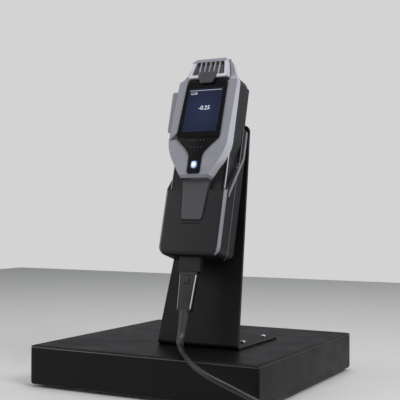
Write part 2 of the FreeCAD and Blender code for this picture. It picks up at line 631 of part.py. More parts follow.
def make_head_cover():
    """The pale front cover: head, two lobes, neck and the tongue that runs down the handle."""
    body = new_body()
    right = [("tongue_width/2", "tongue_low"), ("neck_width/2 - 0.7", "neck_low"),
             ("neck_width/2 + 1", "neck_low + 3"), (HEAD_HALF + " - 7", "neck_low + 24"),
             (HEAD_HALF + " - 1.8", "neck_low + 35"), (HEAD_HALF + " - 0.4", "neck_low + 48"),
             (HEAD_HALF + " - 0.4", "shoulder"), (HEAD_HALF + " - 4.4", "shoulder + 15"),
             (HEAD_HALF + " - 13.4", "handset_top - 0.4")]
    pad(body, outline(body, "front", "band_front", mirrored(right)), "chin_front - band_front")
    side_cut(body, [("tongue_front", "tongue_low - 1"), ("tongue_front", "neck_low - 2"),
                    ("chin_front - 2", "neck_low"), ("chin_front", "neck_low + 4"),
                    ("chin_front + 5", "neck_low + 4"), ("chin_front + 5", "tongue_low - 1")])
    side_cut(body, [("chin_front", "face_low"), (FACE_TOP_FRONT, "face_top"),
                    ("band_front + crown_step", "face_top + 1"), ("band_front + crown_step", "handset_top"),
                    ("chin_front + 5", "handset_top"), ("chin_front + 5", "face_low")])
    tools = [
        slab(HEAD_HALF + " - 6", "band_front - 1", "band_front + 5", "flare_low + 12", "face_top - 4.5"),
        slab("lcd_half + 0.4", "band_front", "chin_front + 3", "face_low + lcd_low - 2.5",
             "face_low + lcd_low + lcd_tall + 2"),
        slab("neck_width/2 - 4", "band_front - 1", "band_front + 8", "neck_low + 6", "flare_low + 12.1"),
        slab("button_width/2 + button_gap", "band_front", "chin_front + 3",
             "button_up - button_tall/2 - button_gap", "button_up + button_tall/2 + button_gap")]
    tools.append(slab("5.3", "band_front - 2", "band_front + 4", "lid_low + 8.7", "lid_low + 14.3"))
    crown = new_body()
    crown_line = [(HEAD_HALF + " - 3.2", "rear_top + 0.2"), (HEAD_HALF + " - 4.4", "shoulder + 15"),
                  (HEAD_HALF + " - 13.4", "handset_top - 0.4")]
    pad(crown, outline(crown, "front", "band_front - crown_thick", mirrored(crown_line)),
        "crown_thick + crown_step/2")
    extras = [crown]
    for side in (-1, 1):
        flank = new_body()
        flank_line = [("lid_low_width/2 + flank_gap", "lid_low - 2.4"),
                      (HEAD_HALF + " - 0.9", "lid_low - 2.4"), (HEAD_HALF + " - 4.4", "shoulder + 15"),
                      (HEAD_HALF + " - 13.4", "handset_top - 0.4"),
                      ("lid_top_width/2 + flank_gap", "handset_top - 0.4")]
        corners = [("%d*(%s)" % (side, across), up) for across, up in flank_line]
        pad(flank, outline(flank, "front", "band_front", corners), "flank_rise")
        extras.append(flank)
    tools.append(rod("pin_radius + pin_gap", "lid_top_width + 12", "-(lid_top_width/2 + 6)",
                     "-(band_front + hinge_ahead)", "handset_top - hinge_drop", "right"))
    on_device("head_cover", cut(fuse([body] + extras), tools))


def make_handle_front():
    """The dark panel behind the tongue, with a soft grip on each side of it."""
    half = HANDLE_HALF + " - band_wall - 0.3"
    panel = slab(half, "band_front - 3", "band_front", SEAT + " + band_wall + 0.3", "flare_low + 11")
    corner_relief = []
    for side in (-1, 1):
        x = "%d*(%s)" % (side, half)
        corner_relief.append(box("%s - 6" % x, "-(band_front + 1)", SEAT + " + band_wall", "12", "5", "7"))
    on_device("handle_panel", cut(panel, corner_relief))
    grips = []
    for side in (-1, 1):
        body = new_body()
        inner_low = "%d*(tongue_width/2 + 1.5)" % side
        inner_top = "%d*(neck_width/2 + 1)" % side
        outer = "%d*(%s - 1)" % (side, half)
        corners = [(inner_low, SEAT + " + grip_inset"), (outer, SEAT + " + grip_inset"),
                   (outer, "neck_low + 18"), (inner_top, "neck_low - 1")]
        pad(body, outline(body, "front", "band_front", corners), "grip_thick")
        grips.append(body)
    on_device("grip_panels", group(grips))


def make_window():
    """The black display window, the black surround of the button, and the display behind."""
    body = new_body()
    right = [("window_low_half", "2.5"), ("window_top_half", "face_top - face_low - 1.8")]
    pad(body, outline(body, "front", "0", mirrored(right)), "window_thick")
    round_edges(body, "window_round", runs_ahead)
    on_face("display_window", body)
    funnel = new_body()
    right = [("funnel_low_half", "neck_low + 3.5"), ("funnel_top_half", "neck_low + 26"),
             ("window_low_half", "face_low + 2.2")]
    pad(funnel, outline(funnel, "front", "chin_front", mirrored(right)), "window_thick - 0.2")
    low = size("neck_low") + 4
    round_edges(funnel, "window_round", lambda a, b: runs_ahead(a, b) and a.z < low)
    gap = slab("button_width/2 + button_gap", "chin_front - 1", "chin_front + 4",
               "button_up - button_tall/2 - button_gap", "button_up + button_tall/2 + button_gap")
    on_device("button_surround", cut(funnel, [gap]))
    on_face("lcd_panel", box("-lcd_half", "0.2", "lcd_low", "2*lcd_half", "lcd_thick", "lcd_tall"))


def make_button():
    middle = "button_up"
    cap = slab("button_width/2", "chin_front - 5", "chin_front + window_thick + 0.4",
               middle + " - button_tall/2", middle + " + button_tall/2")
    on_device("power_button", cap)
    switch = slab("3", "band_front", "chin_front - 5 - button_travel - 0.1", middle + " - 3", middle + " + 3")
    on_device("button_switch", switch)


def make_capture_bar():
    """The press bar on the left flank, on two stems that slide in the band."""
    outer = "(-%s - bar_reach)" % HEAD_HALF
    bar = box(outer, "-(%s + bar_depth/2)" % BAR_MIDDLE, "bar_low", "bar_width", "bar_depth",
              "bar_tall")
    stems = [rod("stem_radius", "9", outer + " + bar_width - 1", "-" + BAR_MIDDLE, up, "right")
             for up in stem_heights()]
    on_device("capture_bar", fuse([bar] + stems))
    reach = outer + " + bar_width + 8 + bar_travel + 0.2"
    switch = box(reach, "-(%s + 3)" % BAR_MIDDLE, "bar_low + stem_inset - 4", "5",
                 BAR_MIDDLE + " + 3 - board_back - board_thick", "8")
    on_device("capture_switch", switch)


def make_lid():
    """The ribbed lid on the crown, its hinge pin and its thumb catch."""
    body = new_body()
    top = "handset_top + 0.6"
    right = [("lid_low_width/2", "lid_low"), ("lid_top_width/2", top)]
    back = "band_front + 3"
    pad(body, outline(body, "front", back, mirrored(right)), "lid_front - (%s)" % back)
    side_cut(body, [("lid_front", "lid_low"), ("lid_front - lid_slope", top),
                    ("lid_front + 2", top), ("lid_front + 2", "lid_low")])
    round_edges(body, "4", lambda a, b: runs_ahead(a, b) and a.z > size("handset_top"))
    recess = mirrored([("lid_low_width/2 - 5.5", "lid_low + 4"), ("lid_top_width/2 - 4", top + " - 5.5")])
    pocket(body, outline(body, "front", back + " + 4.5", recess), "20", forward=True)
    ribs = []
    for number in range(int(size("rib_count"))):
        x = "rib_pitch*(%d - (rib_count - 1)/2) - rib_width/2" % number
        ribs.append(box(x, "-(%s + 6.6)" % back, "lid_low + 4", "rib_width", "3", "18"))
    notch = slab("notch_half", "lid_front - 2.2", "lid_front + 5", "lid_low - 1", "lid_low + 7.4")
    bore = rod("pin_radius + pin_gap", "lid_top_width + 12", "-(lid_top_width/2 + 6)",
               "-(band_front + hinge_ahead)", "handset_top - hinge_drop", "right")
    on_device("head_lid", cut(fuse([body] + ribs), [notch, bore]))
    on_device("lid_pin", rod("pin_radius", "lid_top_width + 7", "-(lid_top_width/2 + 3.5)",
                             "-(band_front + hinge_ahead)", "handset_top - hinge_drop", "right"))
    tab = new_body()
    right = [("catch_low_half", "lid_low - 7.5"), ("catch_top_half", "lid_low + 7")]
    pad(tab, outline(tab, "front", "lid_front - 1.9", mirrored(right)), "catch_thick")
    on_device("lid_catch", tab)
    port = slab("5", "band_front - 2", "band_front + 1.5", "lid_low + 9", "lid_low + 14")
    on_device("data_port", port)


# ---------------------------------------------------------------- inside the handset
def make_electronics():
    board = slab(HEAD_HALF + " - band_wall - board_gap", "board_back", "board_back + board_thick",
                 "flare_top + 0.5", "shoulder")
    rod_hole = rod("rail_radius + 0.5", "board_thick + 2", "rail_side", "1 - board_back", "axis_up",
                   "ahead")
    on_device("main_board", cut(board, [rod_hole]))
    pack = slab("handset_width/2 - 10.2", "handle_back + shell_wall + 0.3", "band_front - 11",
                SEAT + " + 14", "flare_low - 12")
    on_device("battery_pack", pack)
    pads = [rod("3", "1.5", x, y, SEAT) for x, y in contact_places()]
    on_device("charge_pads", group(pads))
    screws = []
    for x, z in housing_screw_places():
        head = rod("2*housing_screw_radius", "1.5", x, "-(handle_back + 0.2)", z, "ahead")
        shank = rod("housing_screw_radius", "band_front - 3.2 - handle_back - 1", x,
                    "-(handle_back + 1)", z, "ahead")
        screws.append(fuse([head, shank]))
    on_device("housing_screws", group(screws))


def make_optics():
    """The measuring axis: window lens, lamp ring, moving target lens and camera."""
    inner_wall = "head_back + shell_wall"
    on_device("eye_lens", rod("lens_radius", "shell_wall - 0.2", "0", "-(head_back + 0.1)", "axis_up",
                              "ahead"))
    rim = rod("lens_radius + 5", "bezel_thick", "0", "bezel_thick - head_back", "axis_up", "ahead")
    hole = rod("lens_radius - 0.6", "4", "0", "3 - head_back", "axis_up", "ahead")
    on_device("eye_lens_bezel", cut(rim, [hole]))
    length = "chassis_back - head_back - shell_wall"
    tube = rod("lens_radius + 0.3 + tube_wall", length, "0", "-(%s)" % inner_wall, "axis_up", "ahead")
    bore = rod("lens_radius + 0.3", "40", "0", "-head_back", "axis_up", "ahead")
    slot = box("-(lens_radius + 6)", "-(chassis_back - 2)", "axis_up - 2.6", "2*lens_radius + 12",
               "chassis_back - 2 - head_back - shell_wall - 2", "5.2")
    on_device("optics_tube", cut(tube, [bore, slot]))
    ring = rod("lens_radius", "1.5", "0", "-(%s + 0.5)" % inner_wall, "axis_up", "ahead")
    ring_hole = rod("lens_radius - 4", "5", "0", "-(%s - 1)" % inner_wall, "axis_up", "ahead")
    on_device("lamp_ring", cut(ring, [ring_hole]))
    carrier = rod("lens_radius - 0.4", "carriage_thick", "0", "-carriage_back", "axis_up", "ahead")
    arms = box("-(rail_side + 3)", "-(carriage_back + carriage_thick)", "axis_up - 2.2",
               "2*rail_side + 6", "carriage_thick", "4.4")
    rail_bore = rod("rail_radius + 0.06", "carriage_thick + 2", "-rail_side", "1 - carriage_back",
                    "axis_up", "ahead")
    on_device("focus_carriage", cut(fuse([carrier, arms]), [rail_bore]))
    rail = rod("rail_radius", length, "-rail_side", "-(%s)" % inner_wall, "axis_up", "ahead")
    on_device("guide_rail", rail)
    reach = "board_back + rod_overrun - carriage_back - carriage_thick"
    push_rod = rod("rail_radius", reach, "rail_side", "-(carriage_back + carriage_thick)", "axis_up",
                   "ahead")
    on_device("push_rod", push_rod)
    plate = slab("rail_side + 8", "chassis_back", "chassis_back + chassis_thick", "axis_up - 12",
                 "axis_up + 12")
    window = rod("6", "chassis_thick + 2", "0", "1 - chassis_back", "axis_up", "ahead")
    rod_hole = rod("rail_radius + 0.06", "board_back - chassis_back + 2", "rail_side",
                   "1 - chassis_back", "axis_up", "ahead")
    on_device("optics_chassis", cut(plate, [window, rod_hole]))
    camera = slab("camera_half", "chassis_back + chassis_thick", "board_back",
                  "axis_up - camera_half", "axis_up + camera_half")
    on_device("camera_module", camera)
    motor = rod("motor_radius", "board_back - chassis_back - chassis_thick", "rail_side",
                "-(chassis_back + chassis_thick)", "axis_up", "ahead")
    motor_bore = rod("rail_radius + 0.06", "board_back - chassis_back + 2", "rail_side",
                     "1 - chassis_back", "axis_up", "ahead")
    on_device("focus_motor", cut(motor, [motor_bore]))


# ---------------------------------------------------------------- cord
def device_point(x, ahead, up):
    """A world point, from device x, distance ahead of the plate and height up the plate."""
    lean = math.radians(size("lean"))
    return Vector(size("bracket_x") + x,
                  size("bracket_y") + up * math.sin(lean) - ahead * math.cos(lean),
                  size("base_top") + up * math.cos(lean) + ahead * math.sin(lean))


def make_plug():
    """The plug in the cradle's socket: a tapered body, its nose, its latch and the boot."""
    body = new_body()
    right = [("plug_width/2 - 2.6", "plug_low"), ("plug_width/2", "plug_top")]
    half_depth = "plug_depth/2"
    pad(body, outline(body, "front", "plug_ahead - %s" % half_depth, mirrored(right)), "plug_depth")
    round_edges(body, "1.5", lambda a, b: abs(a.z - b.z) > 20)
    nose = slab("nose_width/2", "plug_ahead - nose_depth/2", "plug_ahead + nose_depth/2",
                "plug_top - 1", "plug_top + nose_rise")
    holes = [rod("0.8", "nose_rise + 4", x, "-plug_ahead", "plug_top + 0.5") for x in wire_places()]
    recess = slab("latch_half + latch_gap", "plug_ahead + plug_depth/2 - 1.6", "plug_ahead + plug_depth/2 + 2",
                  "plug_top - 15", "plug_top - 3")
    on_device("plug_body", cut(fuse([body, nose]), holes + [recess]))
    latch = slab("latch_half", "plug_ahead + plug_depth/2 - 0.6", "plug_ahead + plug_depth/2 + 0.6",
                 "plug_top - 15 + latch_gap", "plug_top - 3 - latch_gap")
    on_device("plug_latch", latch)
    boot = cone("boot_end_radius", "boot_radius", "boot_length", "0", "-plug_ahead",
                "plug_low - boot_length")
    on_device("cord_boot", boot)


def rounded_path(points):
    """Straight runs joined by tangent arcs, as a wire, with the arcs' radii."""
    edges = []
    radii = []
    start = points[0]
    for before, corner, after in zip(points, points[1:], points[2:]):
        back = (before - corner).normalize()
        onward = (after - corner).normalize()
        turn = math.pi - back.getAngle(onward)
        reach = 0.45 * min((before - corner).Length, (after - corner).Length)
        radius = reach / math.tan(turn / 2)
        enter = corner + back * reach
        leave = corner + onward * reach
        middle = (back + onward).normalize()
        dip = radius / math.cos(turn / 2) - radius
        edges.append(Part.LineSegment(start, enter).toShape())
        edges.append(Part.Arc(enter, corner + middle * dip, leave).toShape())
        radii.append(radius)
        start = leave
    edges.append(Part.LineSegment(start, points[-1]).toShape())
    return Part.Wire(edges), radii


def cord_tube(label, points):
    """A round tube along the path, with its radii and its volume printed as a check."""
    radius = size("cord_diameter") / 2
    wire, radii = rounded_path(points)
    ring = Part.Circle(points[0], points[1] - points[0], radius).toShape()
    sweep = Part.BRepOffsetAPI.MakePipeShell(wire)
    sweep.add(Part.Wire([ring]))
    sweep.build()
    sweep.makeSolid()
    tube = doc.addObject("Part::Feature", "Tube")
    tube.Shape = sweep.shape()
    expected = math.pi * radius ** 2 * wire.Length
    print(label, "length %.1f" % wire.Length, "radii", ["%.0f" % r for r in radii],
          "volume / (section * length) = %.4f" % (tube.Shape.Volume / expected))
    return node(label, tube)


def make_cord():
    """The lead: out of the boot, over the base's front edge, down to the table and into a coil."""
    boot_end = size("plug_low") - size("boot_length")
    exit_point = device_point(0, size("plug_ahead"), boot_end)
    below_exit = device_point(0, size("plug_ahead"), boot_end - 8)
    coil_x = size("coil_x")
    entry_y = size("coil_y") + size("coil_radius")
    route = [exit_point, below_exit, Vector(35, -112.5, 62.5), Vector(41, -122, 59.5), Vector(51, -139, 59.5),
             Vector(65, -158, 57), Vector(84, -172, 48), Vector(107, -180, 40), Vector(131, -181, 32),
             Vector(154, -175, 21), Vector(176, -168, 10), Vector(196, -165, 4.6),
             Vector(215, entry_y - 0.8, 3.2), Vector(coil_x, entry_y, 3.1)]
    cord_tube("cord_run", route)
    middle = size("coil_radius")
    half = size("coil_half_width")
    ring = Part.makeCylinder(middle + half, size("coil_rise"), Vector(coil_x, size("coil_y"), 0))
    hole = Part.makeCylinder(middle - half, size("coil_rise") + 2, Vector(coil_x, size("coil_y"), -1))
    coil = doc.addObject("Part::Feature", "Coil")
    coil.Shape = ring.cut(hole)
    node("cord_coil", coil)
    tie_band = doc.addObject("Part::Feature", "Tie")
    reach = half + 0.4
    wide, thick = size("tie_width"), size("tie_thick")
    outer = Part.makeBox(2 * (reach + thick), wide, size("coil_rise") + 0.4 + thick,
                         Vector(coil_x - middle - reach - thick, size("coil_y") - wide / 2, 0))
    inner = Part.makeBox(2 * reach, wide + 2, size("coil_rise") + 1.4,
                         Vector(coil_x - middle - reach, size("coil_y") - wide / 2 - 1, -1))
    tie_band.Shape = outer.cut(inner)
    node("coil_tie", tie_band)
    tail_x = coil_x + middle
    tail_low = size("coil_y") - 44
    tail = [Vector(tail_x, size("coil_y"), 9), Vector(tail_x, size("coil_y") - 14, 9.2),
            Vector(tail_x - 1.5, size("coil_y") - 29, 9.8), Vector(tail_x - 1.5, tail_low, 10)]
    cord_tube("cord_tail", tail)
    make_mains_plug(tail[-1])


def make_mains_plug(entry):
    width, length, rise = size("mains_width"), size("mains_length"), size("mains_rise")
    shell = Part.makeBox(width, length, rise, Vector(entry.x - width / 2, entry.y - length, 0))
    shell = shell.makeFillet(size("mains_round"),
                             [e for e in shell.Edges if runs_up(*[v.Point for v in e.Vertexes])])
    pins = []
    for side in (-1, 1):
        foot = Vector(entry.x + side * size("blade_side"), entry.y - length, rise / 2)
        pins.append(Part.makeCylinder(size("blade_radius"), size("blade_length"), foot,
                                      Vector(0, -1, 0)))
    plug = doc.addObject("Part::Feature", "MainsPlug")
    plug.Shape = shell
    node("mains_plug", plug)
    blades = doc.addObject("Part::Feature", "MainsPins")
    blades.Shape = Part.makeCompound(pins)
    node("mains_pins", blades)


# ---------------------------------------------------------------- build, check and write
for make in (make_base, make_base_tray, make_bracket, make_mount, make_cradle_back,
             make_cradle_front, make_cradle_floor, make_dock, make_rear_housing, make_band,
             make_head_cover, make_handle_front, make_window, make_button, make_capture_bar,
             make_lid, make_electronics, make_optics, make_plug, make_cord):
    make()

doc.recompute()
for item in doc.Objects:
    if "Invalid" in item.State or "Error" in item.State:
        raise RuntimeError("%s (%s) did not recompute" % (item.Name, item.Label))
os.makedirs("parts", exist_ok=True)
for item in NODES:
    if item.Shape.isNull() or not item.Shape.isValid() or not item.Shape.Solids:
        raise RuntimeError("%s has no valid solid" % item.Label)
    item.Shape.exportStep("parts/%s.step" % item.Label)
print(len(NODES), "sub-parts written")
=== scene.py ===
# %% [markdown]
# # A hand-held refractor in its charging cradle
# The object is a square black base, a steel plate that leans back on it, a cradle on the plate
# and a hand-held eye-measuring instrument standing in the cradle, with its charging lead.
# The loaded frame gives every part's exact place, so nothing here is fitted by eye: each new
# piece is drawn where its own CAD node stands and takes that node's place.

# %% Load the frame
import json
import math
import bpy
from mathutils import Matrix, Vector


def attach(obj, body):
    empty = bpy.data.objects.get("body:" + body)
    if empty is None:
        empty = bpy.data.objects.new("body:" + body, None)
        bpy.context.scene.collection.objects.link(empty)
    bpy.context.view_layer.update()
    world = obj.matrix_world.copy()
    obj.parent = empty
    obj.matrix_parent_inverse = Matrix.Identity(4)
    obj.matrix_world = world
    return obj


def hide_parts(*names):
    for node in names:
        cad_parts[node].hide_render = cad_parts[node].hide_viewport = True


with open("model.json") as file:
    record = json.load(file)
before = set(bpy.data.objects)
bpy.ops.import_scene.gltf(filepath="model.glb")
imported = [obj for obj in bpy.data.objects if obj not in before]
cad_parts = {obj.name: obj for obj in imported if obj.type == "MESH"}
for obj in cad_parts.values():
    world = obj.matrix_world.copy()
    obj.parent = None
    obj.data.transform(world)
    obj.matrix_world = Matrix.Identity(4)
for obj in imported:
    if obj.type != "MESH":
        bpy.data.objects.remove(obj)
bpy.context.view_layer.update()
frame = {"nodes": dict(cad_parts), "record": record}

# %% [markdown]
# ## Units and the leaning axes
# Everything on the upright leans back by 15 degrees with it. It is simplest to draw such a
# piece upright, in millimetres, and to lean it at the end, as one would build it on a bench and
# then hang it up. Three lengths place a point there: x to the right, "ahead" of the plate, and
# height up the plate. The head's face leans a further 5 degrees, so it has axes of its own.

# %% Units and axes
MM = 0.001
LEAN = math.radians(15)
FACE_LEAN = math.radians(5)
FOOT_OF_PLATE = Vector((33.6 * MM, -70 * MM, 50 * MM))
ON_PLATE = Matrix.Translation(FOOT_OF_PLATE) @ Matrix.Rotation(-LEAN, 4, "X")
FACE_FOOT = Vector((0, -63 * MM, 238 * MM))
ON_FACE = ON_PLATE @ Matrix.Translation(FACE_FOOT) @ Matrix.Rotation(-FACE_LEAN, 4, "X")


def on_plate(x, ahead, up):
    return ON_PLATE @ Vector((x * MM, -ahead * MM, up * MM))


print("the plate's foot is at", tuple(FOOT_OF_PLATE))

# %% [markdown]
# ## Camera
# The camera stands to the right of the instrument, a little over its middle height, and looks
# very slightly up. A longish lens keeps the upright lines nearly parallel.

# %% Camera
bpy.ops.object.select_all(action="DESELECT")
bpy.ops.object.camera_add(location=(0.51834, -0.97186, 0.20554))
camera = bpy.context.object
camera.name = "camera"
camera.rotation_euler = (math.radians(91.055), math.radians(-0.276), math.radians(28.06))
camera.data.lens = 77.78
camera.data.sensor_width = 36
bpy.context.scene.camera = camera
print("camera at", tuple(round(c, 3) for c in camera.location))

# %% [markdown]
# ## The charging lead
# The lead leaves the plug's boot, lies on the front of the base, drops to the table and is put
# away in a tied coil beside the base. A lead keeps its length and is stiff enough to make one
# smooth line, so it is a single curve whose few guide points say only where it goes. The coil is
# more points of the same curve: it winds inwards on the table, climbs one diameter and winds
# outwards on top of itself, as a lead is wound round a hand.

# %% The route of the lead
LEAD_THICK = 6
lead_exit = tuple(on_plate(0, 40, 16))
first_step = tuple(on_plate(0, 40, 8))
over_the_base = [(35, -112.5, 62.5), (41, -122, 59.5), (51, -139, 59.5), (65, -158, 57),
                 (84, -172, 48), (107, -180, 40), (131, -181, 32), (154, -174, 21),
                 (176, -166, 10), (196, -160, 4.6), (214, -156.4, 3.3)]
COIL_X, COIL_Y = 232, -197
POINTS_PER_TURN = 20
coil_points = []
for step in range(int(5.25 * POINTS_PER_TURN) + 1):
    turns = step / POINTS_PER_TURN
    wound = min(turns, 2.5) - max(turns - 2.75, 0)
    radius = (40.6 - 6.1 * wound) / math.cos(math.pi / POINTS_PER_TURN)
    climb = min(max((turns - 2.5) / 0.25, 0), 1)
    angle = 2 * math.pi * turns
    coil_points.append((COIL_X + radius * math.sin(angle), COIL_Y + radius * math.cos(angle),
                        3.05 + 6.1 * climb))
to_the_plug = [(271, -212, 9.3), (265.5, -226, 9.8), (263.5, -241, 10)]
millimetres = over_the_base + coil_points + to_the_plug
route = [lead_exit, first_step] + [tuple(c * MM for c in p) for p in millimetres]

# %% The lead itself
line = bpy.data.curves.new("lead", "CURVE")
line.dimensions = "3D"
spline = line.splines.new("NURBS")
spline.points.add(len(route) - 1)
for point, place in zip(spline.points, route):
    point.co = (*place, 1)
    point.radius = LEAD_THICK / 2 * MM
spline.order_u = 3
spline.use_endpoint_u = True
spline.resolution_u = 6
line.bevel_depth = 1
line.bevel_resolution = 5
line.use_fill_caps = True
lead = bpy.data.objects.new("lead", line)
bpy.context.collection.objects.link(lead)
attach(lead, "stand")
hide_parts("cord_run", "cord_coil", "cord_tail")
print("the lead has", len(route), "guide points")

# %% [markdown]
# ## Finishes: how a node material is built
# Every finish is a Principled shader with patterns that drive its colour, roughness and bump.
# Colours are written as the hex values a paint chart would give, and one function turns them to
# the linear light values that the shader works in.

# %% Two small material helpers
def hex_colour(text):
    """A paint chart's hex value as linear red, green, blue and alpha."""
    values = [int(text[i:i + 2], 16) / 255 for i in (1, 3, 5)]
    return tuple(v / 12.92 if v <= 0.04045 else ((v + 0.055) / 1.055) ** 2.4
                 for v in values) + (1,)


def add(tree, kind, links=(), **settings):
    """Add one node, set its settings and sockets by name, and link (socket, output) pairs."""
    item = tree.nodes.new(kind)
    for key, value in settings.items():
        if hasattr(item, key):
            setattr(item, key, value)
        else:
            item.inputs[key.replace("_", " ")].default_value = value
    for socket, output in links:
        tree.links.new(output, item.inputs[socket])
    return item


def empty_material(name):
    """A material with only its output node."""
    material = bpy.data.materials.new(name)
    material.use_nodes = True
    material.node_tree.nodes.clear()
    return material, material.node_tree


# %% [markdown]
# ## Moulded and painted plastics
# Most of the instrument is injection-moulded ABS. The tool's surface is spark-eroded, so the
# plastic comes out with a fine, even grain of about 0.3 mm that breaks up reflections. Handling
# polishes it in wide, soft patches, so its roughness wanders slowly over tens of millimetres.
# One function makes all the plastics, since they differ only in colour, gloss and grain.

# %% Moulded plastic
def moulded(name, colour, worn, rough, grain=0.3, depth=0.05, coat=0.0, metallic=0.0, shine=0.5):
    """Grained plastic: a grain of that many mm, and a second colour in slow soft patches."""
    material, tree = empty_material(name)
    where = add(tree, "ShaderNodeTexCoord").outputs["Object"]
    grains = add(tree, "ShaderNodeTexNoise", [("Vector", where)], Scale=1 / (grain * MM),
                 Detail=2, Roughness=0.5).outputs["Fac"]
    patches = add(tree, "ShaderNodeTexNoise", [("Vector", where)], Scale=1 / (35 * MM),
                  Detail=3, Roughness=0.55).outputs["Fac"]
    tint = add(tree, "ShaderNodeMix", data_type="RGBA", blend_type="MIX")
    tree.links.new(patches, tint.inputs[0])
    tint.inputs[6].default_value = hex_colour(colour)
    tint.inputs[7].default_value = hex_colour(worn)
    wander = add(tree, "ShaderNodeMapRange", [("Value", patches)])
    wander.inputs["From Min"].default_value = 0.3
    wander.inputs["From Max"].default_value = 0.7
    wander.inputs["To Min"].default_value = rough - 0.05
    wander.inputs["To Max"].default_value = rough + 0.07
    bump = add(tree, "ShaderNodeBump", [("Height", grains)], Strength=0.5)
    bump.inputs["Distance"].default_value = depth * MM
    shader = add(tree, "ShaderNodeBsdfPrincipled",
                 [("Base Color", tint.outputs[2]), ("Roughness", wander.outputs["Result"]),
                  ("Normal", bump.outputs["Normal"])], IOR=1.53, Metallic=metallic)
    shader.inputs["Coat Weight"].default_value = coat
    shader.inputs["Coat Roughness"].default_value = 0.12
    shader.inputs["Specular IOR Level"].default_value = shine
    add(tree, "ShaderNodeOutputMaterial", [("Surface", shader.outputs["BSDF"])])
    return material


silver_abs = moulded("silver_painted_abs", "#84848D", "#8E8E97", 0.36, 0.25, 0.02, 0.1)
# A pale silver for bright edges and side faces: a painted highlight.
painted_highlight_silver = moulded("painted_highlight_pale_silver", "#BDBDC6", "#C6C6CE", 0.3, 0.25, 0.02, 0.2)
# A darker grey: partly the tongue's and the catch's own tone, partly painted shade.
grey_and_painted_shade = moulded("grey_abs_and_painted_shade", "#3B3B40", "#434348", 0.45, 0.3, 0.03)
# A pale grey for the cradle's edges: a painted highlight.
painted_highlight_grey = moulded("painted_highlight_grey_edge", "#77787F", "#818289", 0.3, 0.3, 0.01, 0.2)
dark_abs = moulded("charcoal_satin_abs", "#0D0D10", "#121216", 0.4, 0.3, 0.03, 0.0, 0.0, 0.35)
body_abs = moulded("dark_grey_satin_abs", "#1E1F23", "#25262A", 0.3, 0.3, 0.02, 0.1, 0.0, 0.45)
base_paint = moulded("black_satin_case", "#040405", "#070708", 0.42, 0.35, 0.03, 0.0, 0.0, 0.2)
# A paler grey for the case's and the plate's edges: a painted highlight.
painted_highlight_dark = moulded("painted_highlight_dark_edge", "#3A3A3C", "#444446", 0.35, 0.35, 0.02, 0.0, 0.0, 0.5)
plate_paint = moulded("black_powder_coated_steel", "#060607", "#0A0A0B", 0.5, 0.6, 0.08, 0.0,
                      0.0, 0.25)
inner_abs = moulded("black_unpainted_abs", "#0E0E10", "#131315", 0.5, 0.4, 0.05, 0.0, 0.0, 0.35)
soft_rubber = moulded("black_moulded_rubber", "#0B0B0C", "#111112", 0.5, 0.5, 0.06, 0.0, 0.0, 0.4)
lead_pvc = moulded("black_pvc_lead", "#0E0E10", "#141416", 0.38, 0.8, 0.03)
boot_pvc = moulded("grey_pvc_boot", "#303034", "#38383C", 0.42, 0.6, 0.03)
plug_abs = moulded("black_plug_abs", "#0E0E10", "#141416", 0.33, 0.3, 0.03, 0.1)
lead.data.materials.append(lead_pvc)
print("plastics made")

# %% [markdown]
# ## Metals
# Small turned and stamped metal parts show fine parallel tool lines. A noise stretched along one
# axis gives them: it is close and fine across the lines, and hardly changes along them.

# %% Machined metal
def machined(name, colour, rough, line_gap=0.25, along=(1, 1, 30)):
    """Metal with fine tool lines, line_gap mm apart, running across the stretched axis."""
    material, tree = empty_material(name)
    where = add(tree, "ShaderNodeTexCoord").outputs["Object"]
    stretch = add(tree, "ShaderNodeMapping", [("Vector", where)], Scale=along)
    lines = add(tree, "ShaderNodeTexNoise", [("Vector", stretch.outputs["Vector"])],
                Scale=1 / (line_gap * 10 * MM), Detail=3, Roughness=0.6).outputs["Fac"]
    wander = add(tree, "ShaderNodeMapRange", [("Value", lines)])
    wander.inputs["To Min"].default_value = rough - 0.08
    wander.inputs["To Max"].default_value = rough + 0.1
    bump = add(tree, "ShaderNodeBump", [("Height", lines)], Strength=0.3)
    bump.inputs["Distance"].default_value = 0.02 * MM
    shader = add(tree, "ShaderNodeBsdfPrincipled",
                 [("Roughness", wander.outputs["Result"]), ("Normal", bump.outputs["Normal"])],
                 Metallic=1.0)
    shader.inputs["Base Color"].default_value = hex_colour(colour)
    add(tree, "ShaderNodeOutputMaterial", [("Surface", shader.outputs["BSDF"])])
    return material


zinc_steel = machined("zinc_plated_steel", "#B9BABC", 0.3)
gold_plate = machined("gold_plated_contact", "#E3BC67", 0.25)
anodised_tube = machined("black_anodised_aluminium", "#3B3C40", 0.38)
print("metals made")

# %% [markdown]
# ## Glass, boards and what lights up
# The display window is clear-coated black plastic with almost no grain. The optics' front lens
# has a violet anti-reflection coat over dark glass. Circuit boards are green lacquer over a
# weave of glass cloth, whose threads are about half a millimetre apart.

# %% Gloss black, lens, circuit board
gloss_black = moulded("gloss_black_window", "#030304", "#050506", 0.12, 0.6, 0.002, 0.0, 0.0,
                      0.3)


def coated_lens():
    material, tree = empty_material("coated_lens")
    where = add(tree, "ShaderNodeTexCoord").outputs["Object"]
    haze = add(tree, "ShaderNodeTexNoise", [("Vector", where)], Scale=1 / (6 * MM),
               Detail=2).outputs["Fac"]
    facing = add(tree, "ShaderNodeLayerWeight", Blend=0.35).outputs["Facing"]
    tint = add(tree, "ShaderNodeMix", [(0, facing)], data_type="RGBA")
    tint.inputs[6].default_value = hex_colour("#0B0A18")
    tint.inputs[7].default_value = hex_colour("#3A2A66")
    wander = add(tree, "ShaderNodeMapRange", [("Value", haze)])
    wander.inputs["To Min"].default_value = 0.03
    wander.inputs["To Max"].default_value = 0.08
    shader = add(tree, "ShaderNodeBsdfPrincipled",
                 [("Base Color", tint.outputs[2]), ("Roughness", wander.outputs["Result"])],
                 IOR=1.52)
    shader.inputs["Coat Weight"].default_value = 1.0
    add(tree, "ShaderNodeOutputMaterial", [("Surface", shader.outputs["BSDF"])])
    return material


